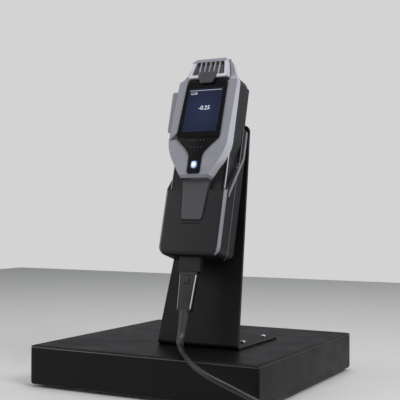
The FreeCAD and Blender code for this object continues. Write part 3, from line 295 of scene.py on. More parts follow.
def circuit_board():
    material, tree = empty_material("green_circuit_board")
    where = add(tree, "ShaderNodeTexCoord").outputs["Object"]
    threads = add(tree, "ShaderNodeTexWave", [("Vector", where)], wave_type="BANDS",
                  Scale=0.3 / (0.5 * MM), Distortion=1).outputs["Fac"]
    tint = add(tree, "ShaderNodeMix", [(0, threads)], data_type="RGBA")
    tint.inputs[6].default_value = hex_colour("#0E4A2C")
    tint.inputs[7].default_value = hex_colour("#156338")
    bump = add(tree, "ShaderNodeBump", [("Height", threads)], Strength=0.3)
    bump.inputs["Distance"].default_value = 0.03 * MM
    shader = add(tree, "ShaderNodeBsdfPrincipled",
                 [("Base Color", tint.outputs[2]), ("Normal", bump.outputs["Normal"])],
                 Roughness=0.3)
    add(tree, "ShaderNodeOutputMaterial", [("Surface", shader.outputs["BSDF"])])
    return material


lens_coat = coated_lens()
board_green = circuit_board()

# %% [markdown]
# ## Light that the object gives
# Two things glow: the display, whose backlight is stronger in its middle, and the round-cornered
# power button. Both get their brightness from a soft gradient about their own centre, read in
# Object coordinates and centred with a Mapping node.

# %% Glowing finishes
def glowing(name, centre, reach, inner, outer, strength):
    """A backlit face: one colour at the centre, fading to another at reach mm."""
    material, tree = empty_material(name)
    where = add(tree, "ShaderNodeTexCoord").outputs["Object"]
    spread = add(tree, "ShaderNodeMapping", [("Vector", where)], vector_type="TEXTURE",
                 Location=tuple(centre), Rotation=(-LEAN - FACE_LEAN, 0, 0),
                 Scale=tuple(r * MM for r in reach))
    ball = add(tree, "ShaderNodeTexGradient", [("Vector", spread.outputs["Vector"])],
               gradient_type="SPHERICAL").outputs["Fac"]
    dots = add(tree, "ShaderNodeTexNoise", [("Vector", where)], Scale=1 / (0.5 * MM),
               Detail=1).outputs["Fac"]
    ramp = add(tree, "ShaderNodeMix", [(0, ball)], data_type="RGBA")
    ramp.inputs[6].default_value = hex_colour(outer)
    ramp.inputs[7].default_value = hex_colour(inner)
    rough = add(tree, "ShaderNodeMapRange", [("Value", dots)])
    rough.inputs["To Min"].default_value = 0.1
    rough.inputs["To Max"].default_value = 0.25
    shader = add(tree, "ShaderNodeBsdfPrincipled",
                 [("Emission Color", ramp.outputs[2]), ("Roughness", rough.outputs["Result"])])
    shader.inputs["Base Color"].default_value = hex_colour("#040506")
    shader.inputs["Specular IOR Level"].default_value = 0.3
    shader.inputs["Emission Strength"].default_value = strength
    add(tree, "ShaderNodeOutputMaterial", [("Surface", shader.outputs["BSDF"])])
    return material


lcd_centre = ON_FACE @ Vector((0, 0, 38 * MM))
lcd_glow = glowing("lit_display", lcd_centre, (44, 30, 52), "#232C49", "#111728", 1.0)
button_centre = on_plate(0, 65, 206.5)
button_glow = glowing("lit_power_button", button_centre, (4.4, 9, 5.2), "#FFFFFF", "#16548F",
                      1.5)
white_mark = glowing("lit_white_mark", lcd_centre, (90, 60, 90), "#DDE6F2", "#AAB4C4", 1.0)
dim_mark = glowing("lit_dim_mark", lcd_centre, (90, 60, 90), "#5F7096", "#4A5876", 1.0)
print("glowing finishes made")

# %% [markdown]
# ## Dressing the parts that stay as they are
# The inner parts, the feet, the plates and small fittings are already the right shape, so they
# keep their own meshes and only take a finish, chosen by the record's material slot.

# %% Finishes for the frame's own parts
by_slot = {"base_black": base_paint, "plate_black": plate_paint, "steel": zinc_steel,
           "rubber": soft_rubber, "cord_rubber": lead_pvc, "cradle_grey": dark_abs,
           "shell_light": silver_abs, "shell_dark": body_abs, "panel_black": inner_abs,
           "window_black": gloss_black, "lcd": lcd_glow, "button_lit": button_glow,
           "board_green": board_green, "gold": gold_plate, "lens_glass": lens_coat,
           "tube_alu": anodised_tube, "plug_grey": plug_abs}
slots = {row["node"]: row["material_slot"] for row in frame["record"]["subparts"]}
for name, item in frame["nodes"].items():
    part = item if hasattr(item, "data") else bpy.data.objects[name]
    part.data.materials.clear()
    part.data.materials.append(by_slot[slots[name]])
print("dressed", len(slots), "parts")

# %% [markdown]
# ## Modelling helpers
# Nearly every shell here is a block whose outline changes with its height: it flares, narrows
# or rounds off. The plainest way to model such a block is from the bottom up: lay its lowest
# section as a plane, then extrude it to the next height and resize it there, again and again.
# Slanted faces are then bisected off, hollows are taken out with another such block, and all
# edges get a small bevel, because no moulded edge is sharp and the bevel catches the light.

# %% Stack, cut and round
def clear_selection():
    if bpy.context.object and bpy.context.object.mode != "OBJECT":
        bpy.ops.object.mode_set(mode="OBJECT")
    bpy.ops.object.select_all(action="DESELECT")


def pick(piece):
    """Make a piece the only selected and active object."""
    clear_selection()
    piece.select_set(True)
    bpy.context.view_layer.objects.active = piece


def place_in_mesh(piece):
    """Move the object's place, turn and scale into its mesh."""
    pick(piece)
    bpy.ops.object.transform_apply(location=True, rotation=True, scale=True)


def stack(name, sections, x=0):
    """Extrude a block up through sections of (height, half width, back, front)."""
    clear_selection()
    height, half, back, front = sections[0]
    bpy.ops.mesh.primitive_plane_add(size=1, location=(x * MM, -(back + front) / 2 * MM,
                                                       height * MM))
    piece = bpy.context.object
    piece.name = name
    piece.scale = (2 * half * MM, (front - back) * MM, 1)
    place_in_mesh(piece)
    bpy.ops.object.mode_set(mode="EDIT")
    bpy.ops.mesh.select_all(action="SELECT")
    for up, wide, rear, fore in sections[1:]:
        shift = (back + front - rear - fore) / 2
        bpy.ops.mesh.extrude_region_move(
            TRANSFORM_OT_translate={"value": (0, shift * MM, (up - height) * MM)})
        bpy.ops.transform.resize(value=(wide / half, (fore - rear) / (front - back), 1),
                                 center_override=(x * MM, -(rear + fore) / 2 * MM, up * MM))
        height, half, back, front = up, wide, rear, fore
    bpy.ops.mesh.select_all(action="SELECT")
    bpy.ops.mesh.normals_make_consistent(inside=False)
    bpy.ops.object.mode_set(mode="OBJECT")
    return piece


def straight(profile, back, front):
    """Sections with one back and front, from (height, half width) pairs."""
    return [(up, half, back, front) for up, half in profile]


def boolean(piece, tool, operation):
    pick(piece)
    change = piece.modifiers.new(operation.lower(), "BOOLEAN")
    change.operation = operation
    change.solver = "EXACT"
    change.object = tool
    bpy.ops.object.modifier_apply(modifier=change.name)
    bpy.data.objects.remove(tool)
    return piece


def hollow(piece, *tools):
    for tool in tools:
        boolean(piece, tool, "DIFFERENCE")
    return piece


def weld(piece, *others):
    for other in others:
        boolean(piece, other, "UNION")
    return piece


def slice_off(piece, point, normal):
    """Cut away what lies beyond a plane; point and normal are (x, ahead, up)."""
    pick(piece)
    bpy.ops.object.mode_set(mode="EDIT")
    bpy.ops.mesh.select_all(action="SELECT")
    bpy.ops.mesh.bisect(plane_co=(point[0] * MM, -point[1] * MM, point[2] * MM),
                        plane_no=(normal[0], -normal[1], normal[2]), use_fill=True,
                        clear_outer=True, threshold=1e-7)
    bpy.ops.object.mode_set(mode="OBJECT")
    return piece


def round_edges(piece, radius, wanted, segments=5):
    """Bevel the edges whose two ends, in mm as (x, ahead, up), pass the test."""
    pick(piece)
    mesh = piece.data
    for group in (mesh.vertices, mesh.edges, mesh.polygons):
        group.foreach_set("select", [False] * len(group))
    count = 0
    for edge in mesh.edges:
        a, b = [mesh.vertices[i].co / MM for i in edge.vertices]
        if wanted(Vector((a.x, -a.y, a.z)), Vector((b.x, -b.y, b.z))):
            edge.select = True
            count += 1
    bpy.ops.object.mode_set(mode="EDIT")
    bpy.context.tool_settings.mesh_select_mode = (False, True, False)
    bpy.ops.mesh.bevel(offset=radius * MM, segments=segments, affect="EDGES")
    bpy.ops.object.mode_set(mode="OBJECT")
    if not count:
        print("no edge to round on", piece.name)
    return piece


def smooth(piece):
    """Shade round faces smooth, and keep the broad faces flat up to their small bevels."""
    pick(piece)
    bpy.ops.object.shade_smooth_by_angle(angle=math.radians(40))
    even = piece.modifiers.new("even shading", "WEIGHTED_NORMAL")
    even.keep_sharp = True
    bpy.ops.object.modifier_apply(modifier=even.name)
    return piece


def fine_edges(piece, width, segments=2, angle=28, edge_slot=-1):
    """Give every remaining sharp edge a small bevel, whose faces may take a paler finish as a
    painted highlight.
    """
    pick(piece)
    bevel = piece.modifiers.new("fine edges", "BEVEL")
    bevel.width = width * MM
    bevel.segments = segments
    bevel.limit_method = "ANGLE"
    bevel.angle_limit = math.radians(angle)
    bevel.miter_outer = "MITER_ARC"
    bevel.use_clamp_overlap = True
    if edge_slot > 0:
        while len(piece.data.materials) <= edge_slot:
            piece.data.materials.append(None)
        bevel.material = edge_slot
    bpy.ops.object.modifier_apply(modifier=bevel.name)
    return smooth(piece)


def finish(piece, frame_axes, body, slot, finishes, *nodes):
    """Lean the piece into its place, dress it, and let it stand for its CAD nodes."""
    piece.matrix_world = frame_axes @ piece.matrix_world
    place_in_mesh(piece)
    finishes = finishes if isinstance(finishes, list) else [finishes]
    while len(piece.data.materials) < len(finishes):
        piece.data.materials.append(None)
    for number, material in enumerate(finishes):
        piece.data.materials[number] = material
    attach(piece, body)
    if nodes:
        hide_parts(*nodes)
    print(piece.name, "has", len(piece.data.polygons), "faces")
    return piece


def dress(piece, slot_number, wanted):
    """Give a second finish to the faces whose middle and normal, as (x, ahead, up), pass."""
    count = 0
    for face in piece.data.polygons:
        middle, out = face.center / MM, face.normal
        if wanted(Vector((middle.x, -middle.y, middle.z)), Vector((out.x, -out.y, out.z))):
            face.material_index = slot_number
            count += 1
    print(count, "faces of", piece.name, "take finish", slot_number)


WORLD = Matrix.Identity(4)

# %% [markdown]
# ## The base
# A heavy square case with a folded-looking top: 300 mm square, 50 mm high on its feet. It is
# modelled as a block with rounded uprights and top edge, then opened from below. The rounded
# top edge is painted a little paler as a painted highlight, which draws the case's outline.

# %% The base's case
base = stack("base_case", straight([(3, 150), (50, 150)], -150, 150))
round_edges(base, 4, lambda a, b: abs(a.x - b.x) + abs(a.y - b.y) < 0.01)
round_edges(base, 4, lambda a, b: min(a.z, b.z) > 49.9)
hollow(base, stack("room", straight([(2, 147), (47, 147)], -147, 147)))
fine_edges(base, 0.3)
finish(base, WORLD, "stand", "base_black", [base_paint, painted_highlight_dark], "base_housing")
# The rounded top edge takes the paler grey: a painted highlight.
dress(base, 1, lambda m, n: m.z > 47 and 0.25 < n.z < 0.8)

# %% [markdown]
# ## The leaning plate
# One 3 mm steel sheet, laser cut and bent once. Modelling it follows the workshop: draw the foot
# flat, turn its front edge round a small radius with Spin, carry on up to the top, round the
# corners while the sheet has no thickness, and only then thicken it.

# %% The bent plate
clear_selection()
bpy.ops.mesh.primitive_plane_add(size=1, location=(33.6 * MM, -6.74 * MM, 50 * MM))
plate = bpy.context.object
plate.name = "leaning_plate"
plate.scale = (108 * MM, 113.48 * MM, 1)
place_in_mesh(plate)
pick(plate)
for vertex in plate.data.vertices:
    vertex.select = vertex.co.y < -50 * MM
for edge in plate.data.edges:
    edge.select = all(plate.data.vertices[i].select for i in edge.vertices)
for face in plate.data.polygons:
    face.select = False
bpy.ops.object.mode_set(mode="EDIT")
bpy.context.tool_settings.mesh_select_mode = (False, True, False)
bpy.ops.mesh.spin(steps=8, angle=math.radians(105), center=(0, -63.48 * MM, 55 * MM),
                  axis=(1, 0, 0))
upright = (278 - 6.52) * MM
bpy.ops.mesh.extrude_region_move(TRANSFORM_OT_translate={
    "value": (0, upright * math.sin(LEAN), upright * math.cos(LEAN))})
bpy.ops.transform.resize(value=(70 / 108, 1, 1), center_override=(33.6 * MM, 0, 0.3))
bpy.ops.mesh.select_all(action="SELECT")
bpy.ops.mesh.remove_doubles(threshold=1e-5)
bpy.ops.mesh.normals_make_consistent(inside=False)
bpy.ops.mesh.select_all(action="DESELECT")
bpy.ops.object.mode_set(mode="OBJECT")
if max(plate.data.polygons, key=lambda face: face.center.y).normal.z < 0:
    plate.data.flip_normals()
corners = [v for v in plate.data.vertices if v.co.y > 49 * MM or v.co.z > 300 * MM]
for vertex in corners:
    vertex.select = True
bpy.ops.object.mode_set(mode="EDIT")
bpy.context.tool_settings.mesh_select_mode = (True, False, False)
bpy.ops.mesh.bevel(offset=8 * MM, segments=8, affect="VERTICES")
bpy.ops.object.mode_set(mode="OBJECT")
sheet_metal = plate.modifiers.new("sheet", "SOLIDIFY")
sheet_metal.thickness = 3 * MM
sheet_metal.offset = 1
bpy.ops.object.modifier_apply(modifier=sheet_metal.name)
# The plate's small bevels take the paler grey: a painted highlight along its edges.
fine_edges(plate, 0.45, 2, 28, 1)
finish(plate, WORLD, "stand", "plate_black", [plate_paint, painted_highlight_dark], "stand_bracket")

# %% [markdown]
# ## The cradle
# A moulded cup in two halves. The rear half is a back wall with two tall arms beside the
# handset's neck; the front half is a thin wall with a U-shaped slot for the handset's tongue,
# and wide bevels down its front corners. Both are real cups: the handset lifts out of them.

# %% Cradle, rear half
def box_room(half, back, front, low, top):
    """A plain block to hollow with."""
    return stack("room", straight([(low, half), (top, half)], back, front))


cradle_rear = stack("cradle_rear_half", straight([(100, 41), (264, 41)], 14.5, 29.9))
round_edges(cradle_rear, 11, lambda a, b: max(a.z, b.z) < 101 and a.x * b.x > 0
            and abs(a.x - b.x) < 0.1, 8)
round_edges(cradle_rear, 3.4, lambda a, b: min(a.z, b.z) > 263 and a.x * b.x > 0
            and abs(a.x - b.x) < 0.1, 6)
hollow(cradle_rear, box_room(36.9, 18.6, 40, 114, 300), box_room(36.9, 10, 40, 222, 300),
       box_room(32.9, 18.6, 40, 103, 115),
       stack("room", [(213.4, 60, 30.1, 40), (218.3, 60, 27, 40), (280, 60, 27, 40)]))
# The cradle's small bevels take the pale grey: a painted highlight.
fine_edges(cradle_rear, 0.7, 3, 28, 1)
finish(cradle_rear, ON_PLATE, "stand", "cradle_grey", [dark_abs, painted_highlight_grey], "cradle_back")

# %% Cradle, front half
cradle_front = stack("cradle_front_half", straight([(100, 41), (213.4, 41)], 30, 52.5))
round_edges(cradle_front, 11, lambda a, b: max(a.z, b.z) < 101 and a.x * b.x > 0
            and abs(a.x - b.x) < 0.1, 8)
round_edges(cradle_front, 5, lambda a, b: min(a.y, b.y) > 52.4 and min(a.z, b.z) < 213.3, 5)
slot = stack("slot", straight([(141.7, 14.1), (192.8, 19.3)], 49, 60))
round_edges(slot, 3.4, lambda a, b: max(a.z, b.z) < 142 and a.x * b.x > 0
            and abs(a.x - b.x) < 0.1, 6)
groove = box_room(13.4, 51.9, 60, 137.6, 138.3)
hollow(cradle_front, box_room(36.9, 20, 50, 114, 230), box_room(32.9, 20, 50, 103, 115),
       stack("room", [(178.9, 60, 52.6, 70), (179.5, 60, 50, 70), (213.4, 60, 30, 70),
                      (230, 60, 20, 70)]),
       slot, groove, box_room(9.55, 36.7, 43.3, 99, 104))
# The front corners' wide bevels take the pale grey: a painted highlight.
dress(cradle_front, 1, lambda m, n: abs(n.x) > 0.4 and n.y > 0.25 and m.y > 46)
fine_edges(cradle_front, 0.55, 3)
finish(cradle_front, ON_PLATE, "stand", "cradle_grey", [dark_abs, painted_highlight_grey], "cradle_front")

# %% Pale strips on the cradle's flanks: a painted highlight down the wings' front edges
for side, word in ((-1, "left"), (1, "right")):
    highlight_strip = stack("cradle_highlight_strip_" + word, [
        (172, 0.45, 43.6, 45.6), (178, 0.45, 41.2, 45.7), (228, 0.45, 15, 19.5),
        (258, 0.45, 15, 19.5), (262, 0.45, 16.2, 20.5)], x=side * 40.95)
    fine_edges(highlight_strip, 0.3, 2)
    finish(highlight_strip, ON_PLATE, "stand", "cradle_grey", painted_highlight_grey)

# %% [markdown]
# ## The handset's rear shell
# A dark shell: a slim handle that flares into a wider head, with a deeper box behind the head
# for the optics. Three blocks are welded, the corners rounded, and the inside taken out, so the
# boards and lenses inside have their real room.

# %% Rear shell
outline = [(118, 36.4), (222, 36.4), (227, 36.8), (232, 37.7), (239, 39.3), (245, 40),
           (312, 40), (316, 39.2), (320, 37)]
rear = stack("rear_shell", straight(outline, 27.5, 38))
foot_corner = (lambda a, b: max(a.z, b.z) < 118.1 and a.x * b.x > 0 and abs(a.x - b.x) < 0.1)
round_edges(rear, 9, foot_corner, 8)
handle = stack("handle", straight([(118, 36.4), (232, 36.4)], 19, 27.6))
round_edges(handle, 9, foot_corner, 8)
head_box = stack("head_box", straight([(230, 36), (320, 36)], 14.8, 27.6))
round_edges(head_box, 3, lambda a, b: min(a.z, b.z) > 319 and a.x * b.x > 0
            and abs(a.x - b.x) < 0.1)
weld(rear, handle, head_box)


def drill(radius, x, ahead, up, length, turn=(90, 0, 0)):
    """A round tool centred on a point, running ahead unless turned."""
    clear_selection()
    bpy.ops.mesh.primitive_cylinder_add(
        vertices=48, radius=radius * MM, depth=length * MM, location=(x * MM, -ahead * MM, up * MM),
        rotation=[math.radians(a) for a in turn])
    place_in_mesh(bpy.context.object)
    return bpy.context.object


inside = [(120.5, 33.9), (222, 33.9), (245, 37.5), (312, 37.5), (317.5, 34.5)]
hollow(rear, stack("room", straight(inside, 30, 45)), box_room(33.9, 21.5, 31, 123.5, 232),
       box_room(33.5, 17.3, 31, 231.9, 317.5), drill(12, 0, 15, 285, 8))
for side in (-1, 1):
    hollow(rear, drill(3.1, side * 8, 34, 118, 3, (0, 0, 0)))
    for up in (130, 214):
        hollow(rear, drill(2.8, side * 30, 19, up, 3.4))
fine_edges(rear, 1.2, 4)
finish(rear, ON_PLATE, "handset", "shell_dark", body_abs, "rear_housing")

# %% [markdown]
# ## The side band
# A dark ring, 10 mm deep and 3 mm thick, closes the joint between the rear shell and the front.
# Only its front edge is pale, a painted highlight: a fine bright line down each side of the handle.

# %% Side band
band = stack("side_ring", straight(outline, 38.05, 48))
round_edges(band, 9, foot_corner, 8)
inner_line = [(121, 33.4), (222, 33.4), (227, 33.8), (232, 34.7), (239, 36.3), (245, 37),
              (312, 37), (317, 34)]
ring_room = stack("room", straight(inner_line, 30, 60))
hollow(band, ring_room)
for up in (268, 293):
    hollow(band, drill(2.08, -38, 44, up, 10, (0, 90, 0)))
fine_edges(band, 0.8, 3)
# The ring's front edge takes the pale silver as a painted highlight.
dress(band, 1, lambda m, n: m.y > 47.1 and abs(m.x) > 35.3 and m.z < 236)
finish(band, ON_PLATE, "handset", "shell_dark", [body_abs, painted_highlight_silver], "side_band")

# %% [markdown]
# ## The front cover
# One moulding: a wide head with a face that leans back, shoulders that draw in like a vase to a
# narrow neck, a chin that stands proud, and a flat tongue that runs down the handle into the
# cradle's slot. Its sections hold both its outline and its front, so one stack draws it all.

# %% Front cover
cover_sections = [
    (142.5, 13.3, 48, 54), (190, 17.6, 48, 54), (191.4, 17.8, 48, 60.2),
    (194.6, 19.5, 48, 63), (200, 23, 48, 63), (205, 26.3, 48, 63), (211, 30.2, 48, 63),
    (217, 33.6, 48, 63), (223, 36.4, 48, 63), (229, 38.4, 48, 63), (235, 39.3, 48, 63),
    (238, 39.6, 48, 63), (312, 39.6, 48, 56.52), (316.5, 39.1, 48, 56.13),
    (317.4, 38.2, 48, 49.2), (321, 35.6, 48, 49), (327, 32.6, 48, 49), (344.6, 26, 48, 49)]
cover = stack("front_cover", cover_sections)
round_edges(cover, 3, lambda a, b: max(a.z, b.z) < 142.6 and a.x * b.x > 0
            and abs(a.x - b.x) < 0.1, 6)
crown = stack("crown", straight([(320.2, 36.1), (327, 32.6), (344.6, 26)], 44, 48.6))
weld(cover, crown)

# %% Shoulders beside the lid, then the openings
for side in (-1, 1):
    flank = stack("shoulder", [(316.4, 5.3, 48, 56.1), (319, 5.1, 48, 53.6), (323, 4.9, 48, 51.4),
                               (327, 4.7, 48, 50.6), (336, 3.85, 48, 50.4),
                               (344.6, 1.35, 48, 50.2)])
    for vertex in flank.data.vertices:
        ahead, up = -vertex.co.y / MM, vertex.co.z / MM
        inner = 28.4 - (up - 319) * 4.5 / 26.6
        outer = 39.1 - (up - 316.4) * 6.5 / 10.6 if up < 328 else 32.6 - (up - 327) * 6.6 / 17.6
        vertex.co.x = side * (inner if vertex.co.x < 0 else outer) * MM
    if side < 0:
        flank.data.flip_normals()
    weld(cover, flank)
hollow(cover, box_room(34, 47, 53, 234, 312), box_room(24, 47, 66, 245, 308),
       box_room(14.5, 47, 56, 198, 234.1), box_room(3.9, 47, 66, 202, 211),
       box_room(5.3, 46, 52, 327.7, 333.3), drill(1.06, 0, 53.5, 342.8, 60, (0, 90, 0)))
for side in (-1, 1):
    slice_off(cover, (side * 23, 0, 344.6), (side, 0, 1))
fine_edges(cover, 1.2, 4, 32)
# The tongue takes the darker grey: partly its own tone, partly painted shade under the proud chin.
dress(cover, 1, lambda m, n: m.z < 191.3)
# The head's side faces take the pale silver: a painted highlight.
dress(cover, 2, lambda m, n: abs(m.x) > 18 and abs(n.x) > 0.35 and m.z > 196)
finish(cover, ON_PLATE, "handset", "shell_light", [silver_abs, grey_and_painted_shade, painted_highlight_silver],
       "head_cover")

# %% Dark strip under the lid: painted shade in the gap below it
gap_shade = stack("lid_gap_shade", [(314.6, 28, 54, 56.75), (316.6, 28, 54, 56.6), (318.5, 28, 50.5, 56)])
fine_edges(gap_shade, 0.3, 2)
finish(gap_shade, ON_PLATE, "handset", "panel_black", inner_abs)

# %% [markdown]
# ## Grips beside the tongue
# Two thin moulded pads with rounded corners fill the handle's front on either side.

# %% Grip pads
for side, word in ((-1, "left"), (1, "right")):
    grip = stack("grip_" + word, [(130, 8.65, 48, 49.2), (191, 8.65, 48, 49.2),
                                  (210, 6.3, 48, 49.2)], x=side * 23.45)
    grip.data.transform(Matrix.Identity(4))
    for vertex in grip.data.vertices:
        ahead, up = -vertex.co.y / MM, vertex.co.z / MM
        inner = 14.8 + (up - 130) * 4.7 / 61 if up < 192 else 32.0 - 3.4
        outer = 32.1
        vertex.co.x = side * (inner if abs(vertex.co.x / MM) < 23.45 else outer) * MM
    round_edges(grip, 2.2, lambda a, b: abs(a.x - b.x) + abs(a.z - b.z) < 0.1)
    fine_edges(grip, 0.4, 2)
    if word == "left":
        left_grip = grip
    else:
        finish(grip, ON_PLATE, "handset", "rubber", soft_rubber)
finish(left_grip, ON_PLATE, "handset", "rubber", soft_rubber, "grip_panels")

# %% [markdown]
# ## Display window and button panel
# A gloss black window covers the display, and under it the same black funnels down the chin to
# a panel that holds the lit button.

# %% Window and funnel
window = stack("window_plate", straight([(2.5, 29.2), (76.7, 27.6)], 0.02, 1.6))
round_edges(window, 3, lambda a, b: abs(a.x - b.x) + abs(a.z - b.z) < 0.1, 6)
fine_edges(window, 0.35, 2)
finish(window, ON_FACE, "handset", "window_black", gloss_black, "display_window")
funnel = stack("button_panel", straight(
    [(195.5, 8.6), (216, 8.9), (219, 9.6), (222, 11.2), (226, 14.4), (230, 18.4), (235, 23.9),
     (240.2, 29.2)], 63, 64.4))
round_edges(funnel, 3, lambda a, b: max(a.z, b.z) < 195.6 and a.x * b.x > 0
            and abs(a.x - b.x) < 0.1)
button_room = stack("room", straight([(202, 3.9), (211, 3.9)], 60, 70))
round_edges(button_room, 1.6, lambda a, b: abs(a.x - b.x) + abs(a.z - b.z) < 0.1)
hollow(funnel, button_room)
fine_edges(funnel, 0.35, 2)
finish(funnel, ON_PLATE, "handset", "window_black", gloss_black, "button_surround")

# %% Power button
button = stack("lit_button", straight([(202.3, 3.6), (210.7, 3.6)], 58, 65))
round_edges(button, 1.5, lambda a, b: abs(a.x - b.x) + abs(a.z - b.z) < 0.1)
fine_edges(button, 0.5, 3)
finish(button, ON_PLATE, "power_button", "button_lit", button_glow, "power_button")

# %% [markdown]
# ## What the display shows
# The display is a lit sheet behind the window. It carries only generic marks: a line under the
# top edge and a few numerals, with rows of dots under it. Text is typed with Text, made into a
# mesh, and set on the leaning face like everything else.

# %% Display sheet and marks
screen = stack("display_picture", straight([(10, 22.8), (67.5, 22.8)], 1.4, 1.66))
fine_edges(screen, 0.05, 1)
finish(screen, ON_FACE, "handset", "lcd", lcd_glow)


def bar_mark(name, x, up, half, tall, material):
    mark = stack(name, straight([(up, half), (up + tall, half)], 1.62, 1.72), x=x)
    fine_edges(mark, 0.03, 1)
    return finish(mark, ON_FACE, "handset", "lcd", material)


def numerals(name, words, x, up, tall, material):
    clear_selection()
    bpy.ops.object.text_add(location=(x * MM, -1.7 * MM, up * MM),
                            rotation=(math.radians(90), 0, 0))
    text = bpy.context.object
    text.name = name
    text.data.body = words
    text.data.size = tall * MM
    text.data.extrude = 0.02 * MM
    text.data.offset = 0.014 * tall * MM
    text.data.align_x = "CENTER"
    bpy.ops.object.convert(target="MESH")
    place_in_mesh(text)
    return finish(bpy.context.object, ON_FACE, "handset", "lcd", material)


bar_mark("display_top_line", 0, 64.6, 21.6, 0.5, white_mark)
numerals("display_small_numerals", "12:30", -15.5, 59.6, 4.2, white_mark)
numerals("display_numerals", "-0.25", 2, 38.8, 7.4, white_mark)

# %% Dot rows
dot = stack("panel_dot", straight([(0, 0.45), (0.9, 0.45)], 64.3, 64.46))
round_edges(dot, 0.35, lambda a, b: abs(a.x - b.x) + abs(a.z - b.z) < 0.1, 2)
for row, (up, count) in enumerate(((236.4, 5), (227.6, 4))):
    for column in range(count):
        copy = dot.copy()
        copy.data = dot.data.copy()
        copy.name = "panel_dot_%d_%d" % (row, column)
        bpy.context.collection.objects.link(copy)
        copy.location = ((column - (count - 1) / 2) * 4.6 * MM, 0, up * MM)
        place_in_mesh(copy)
        finish(copy, ON_PLATE, "handset", "lcd", dim_mark)
bpy.data.objects.remove(dot)

# %% [markdown]
# ## The side bar
# A plain pale bar stands off the head's left flank on two short steel-cored stems. Pressing it
# takes a reading.

# %% Side bar
side_bar = stack("side_bar", straight([(254, 5.1), (307, 5.1)], 39, 49), x=-47.1)
round_edges(side_bar, 2.4, lambda a, b: abs(a.y - b.y) > 5 and abs(a.z - b.z) < 0.1
            and abs(a.x - b.x) < 0.1)
weld(side_bar, drill(2, -38.4, 44, 268, 9, (0, 90, 0)), drill(2, -38.4, 44, 293, 9, (0, 90, 0)))
fine_edges(side_bar, 0.9, 3)
finish(side_bar, ON_PLATE, "capture_bar", "shell_light", silver_abs, "capture_bar")

# %% [markdown]
# ## The ribbed lid
# The lid over the ports has a thick rounded rim and, inside it, a recessed panel with five
# upright ribs. It hinges on a pin at the crown. One rib is modelled and copied.

# %% Lid
lid = stack("ribbed_lid", [(319, 27, 51, 60.5), (345.6, 22.5, 51, 55.5)])
round_edges(lid, 4.5, lambda a, b: min(a.z, b.z) > 345 and a.x * b.x > 0
            and abs(a.x - b.x) < 0.1, 6)
round_edges(lid, 3, lambda a, b: max(a.z, b.z) < 320 and a.x * b.x > 0
            and abs(a.x - b.x) < 0.1, 6)
lid_room = stack("room", [(323, 22.2, 57.3, 80), (341.4, 18.9, 54.5, 80)])
round_edges(lid_room, 2, lambda a, b: abs(a.x - b.x) < 0.5 and abs(a.y - b.y) > 5, 4)
hollow(lid, lid_room, stack("room", straight([(318, 12.2), (326.4, 12.2)], 58.3, 66)),
       drill(1.06, 0, 53.5, 342.8, 60, (0, 90, 0)))
# The rim's bevels take the pale silver as a painted highlight.
fine_edges(lid, 1.7, 5, 32, 1)
rib = stack("rib", [(322.6, 0.8, 54.2, 59.2), (341.6, 0.8, 54, 56)])
fine_edges(rib, 0.4, 3)
for number in range(5):
    copy = rib.copy()
    copy.data = rib.data.copy()
    bpy.context.collection.objects.link(copy)
    copy.location.x = (number - 2) * 6.4 * MM
    place_in_mesh(copy)
    weld(lid, copy)
bpy.data.objects.remove(rib)
smooth(lid)
# The lid's side faces and its rib fronts take the pale silver, a painted highlight; the recessed
# panel takes the darker grey, painted shade in the recess.
dress(lid, 1, lambda m, n: abs(n.x) > 0.6 and abs(m.x) > 22)
dress(lid, 1, lambda m, n: n.y > 0.6 and abs((m.x + 16) % 6.4 - 3.2) > 2.2 and m.y > 56.2)
dress(lid, 2, lambda m, n: n.y > 0.8 and abs(m.y - 57.3 + (m.z - 323) * 0.152) < 0.3)
finish(lid, ON_PLATE, "head_lid", "shell_light", [silver_abs, painted_highlight_silver, grey_and_painted_shade], "head_lid")

# %% Dark plates between the ribs: painted shade where the slots are
slot_shade = stack("lid_slot_shade", [(336.6, 1.6, 54, 55.35), (340, 1.6, 54, 54.85)])
round_edges(slot_shade, 0.6, lambda a, b: abs(a.x - b.x) + abs(a.z - b.z) < 0.1, 3)
for number in range(6):
    copy = slot_shade.copy()
    copy.data = slot_shade.data.copy()
    copy.name = "lid_vent_%d" % (number + 1)
    bpy.context.collection.objects.link(copy)
    copy.location.x = (number - 2.5) * 6.4 * MM
    place_in_mesh(copy)
    fine_edges(copy, 0.1, 1)
    finish(copy, ON_PLATE, "head_lid", "panel_black", inner_abs)
bpy.data.objects.remove(slot_shade)

# %% Thumb catch
catch = stack("thumb_catch", [(311.5, 9, 58.6, 62), (326, 11.6, 58.6, 62)])
round_edges(catch, 3, lambda a, b: max(a.z, b.z) < 311.6 and a.x * b.x > 0
            and abs(a.x - b.x) < 0.1, 6)
fine_edges(catch, 1.0, 4)
finish(catch, ON_PLATE, "lid_catch", "shell_light", grey_and_painted_shade, "lid_catch")

# %% [markdown]
# ## Socket, plug and boot
# Under the cradle hangs a small socket block, and the lead's tapered plug is pushed up into it.
# The plug has broad bevels, a latch in a recess and, at its foot, a boot that tapers along the
# lead's own line and so bends with it.

# %% Socket
socket = stack("socket_block", straight([(82.4, 14.25), (100, 14.25)], 35, 45))
round_edges(socket, 1.6, lambda a, b: abs(a.x - b.x) + abs(a.y - b.y) < 0.1, 4)
weld(socket, box_room(9.25, 37, 43, 99, 105))
hollow(socket, box_room(8.5, 37, 43, 80, 93.8))
fine_edges(socket, 0.5, 2)
finish(socket, ON_PLATE, "stand", "panel_black", inner_abs, "dock_socket")

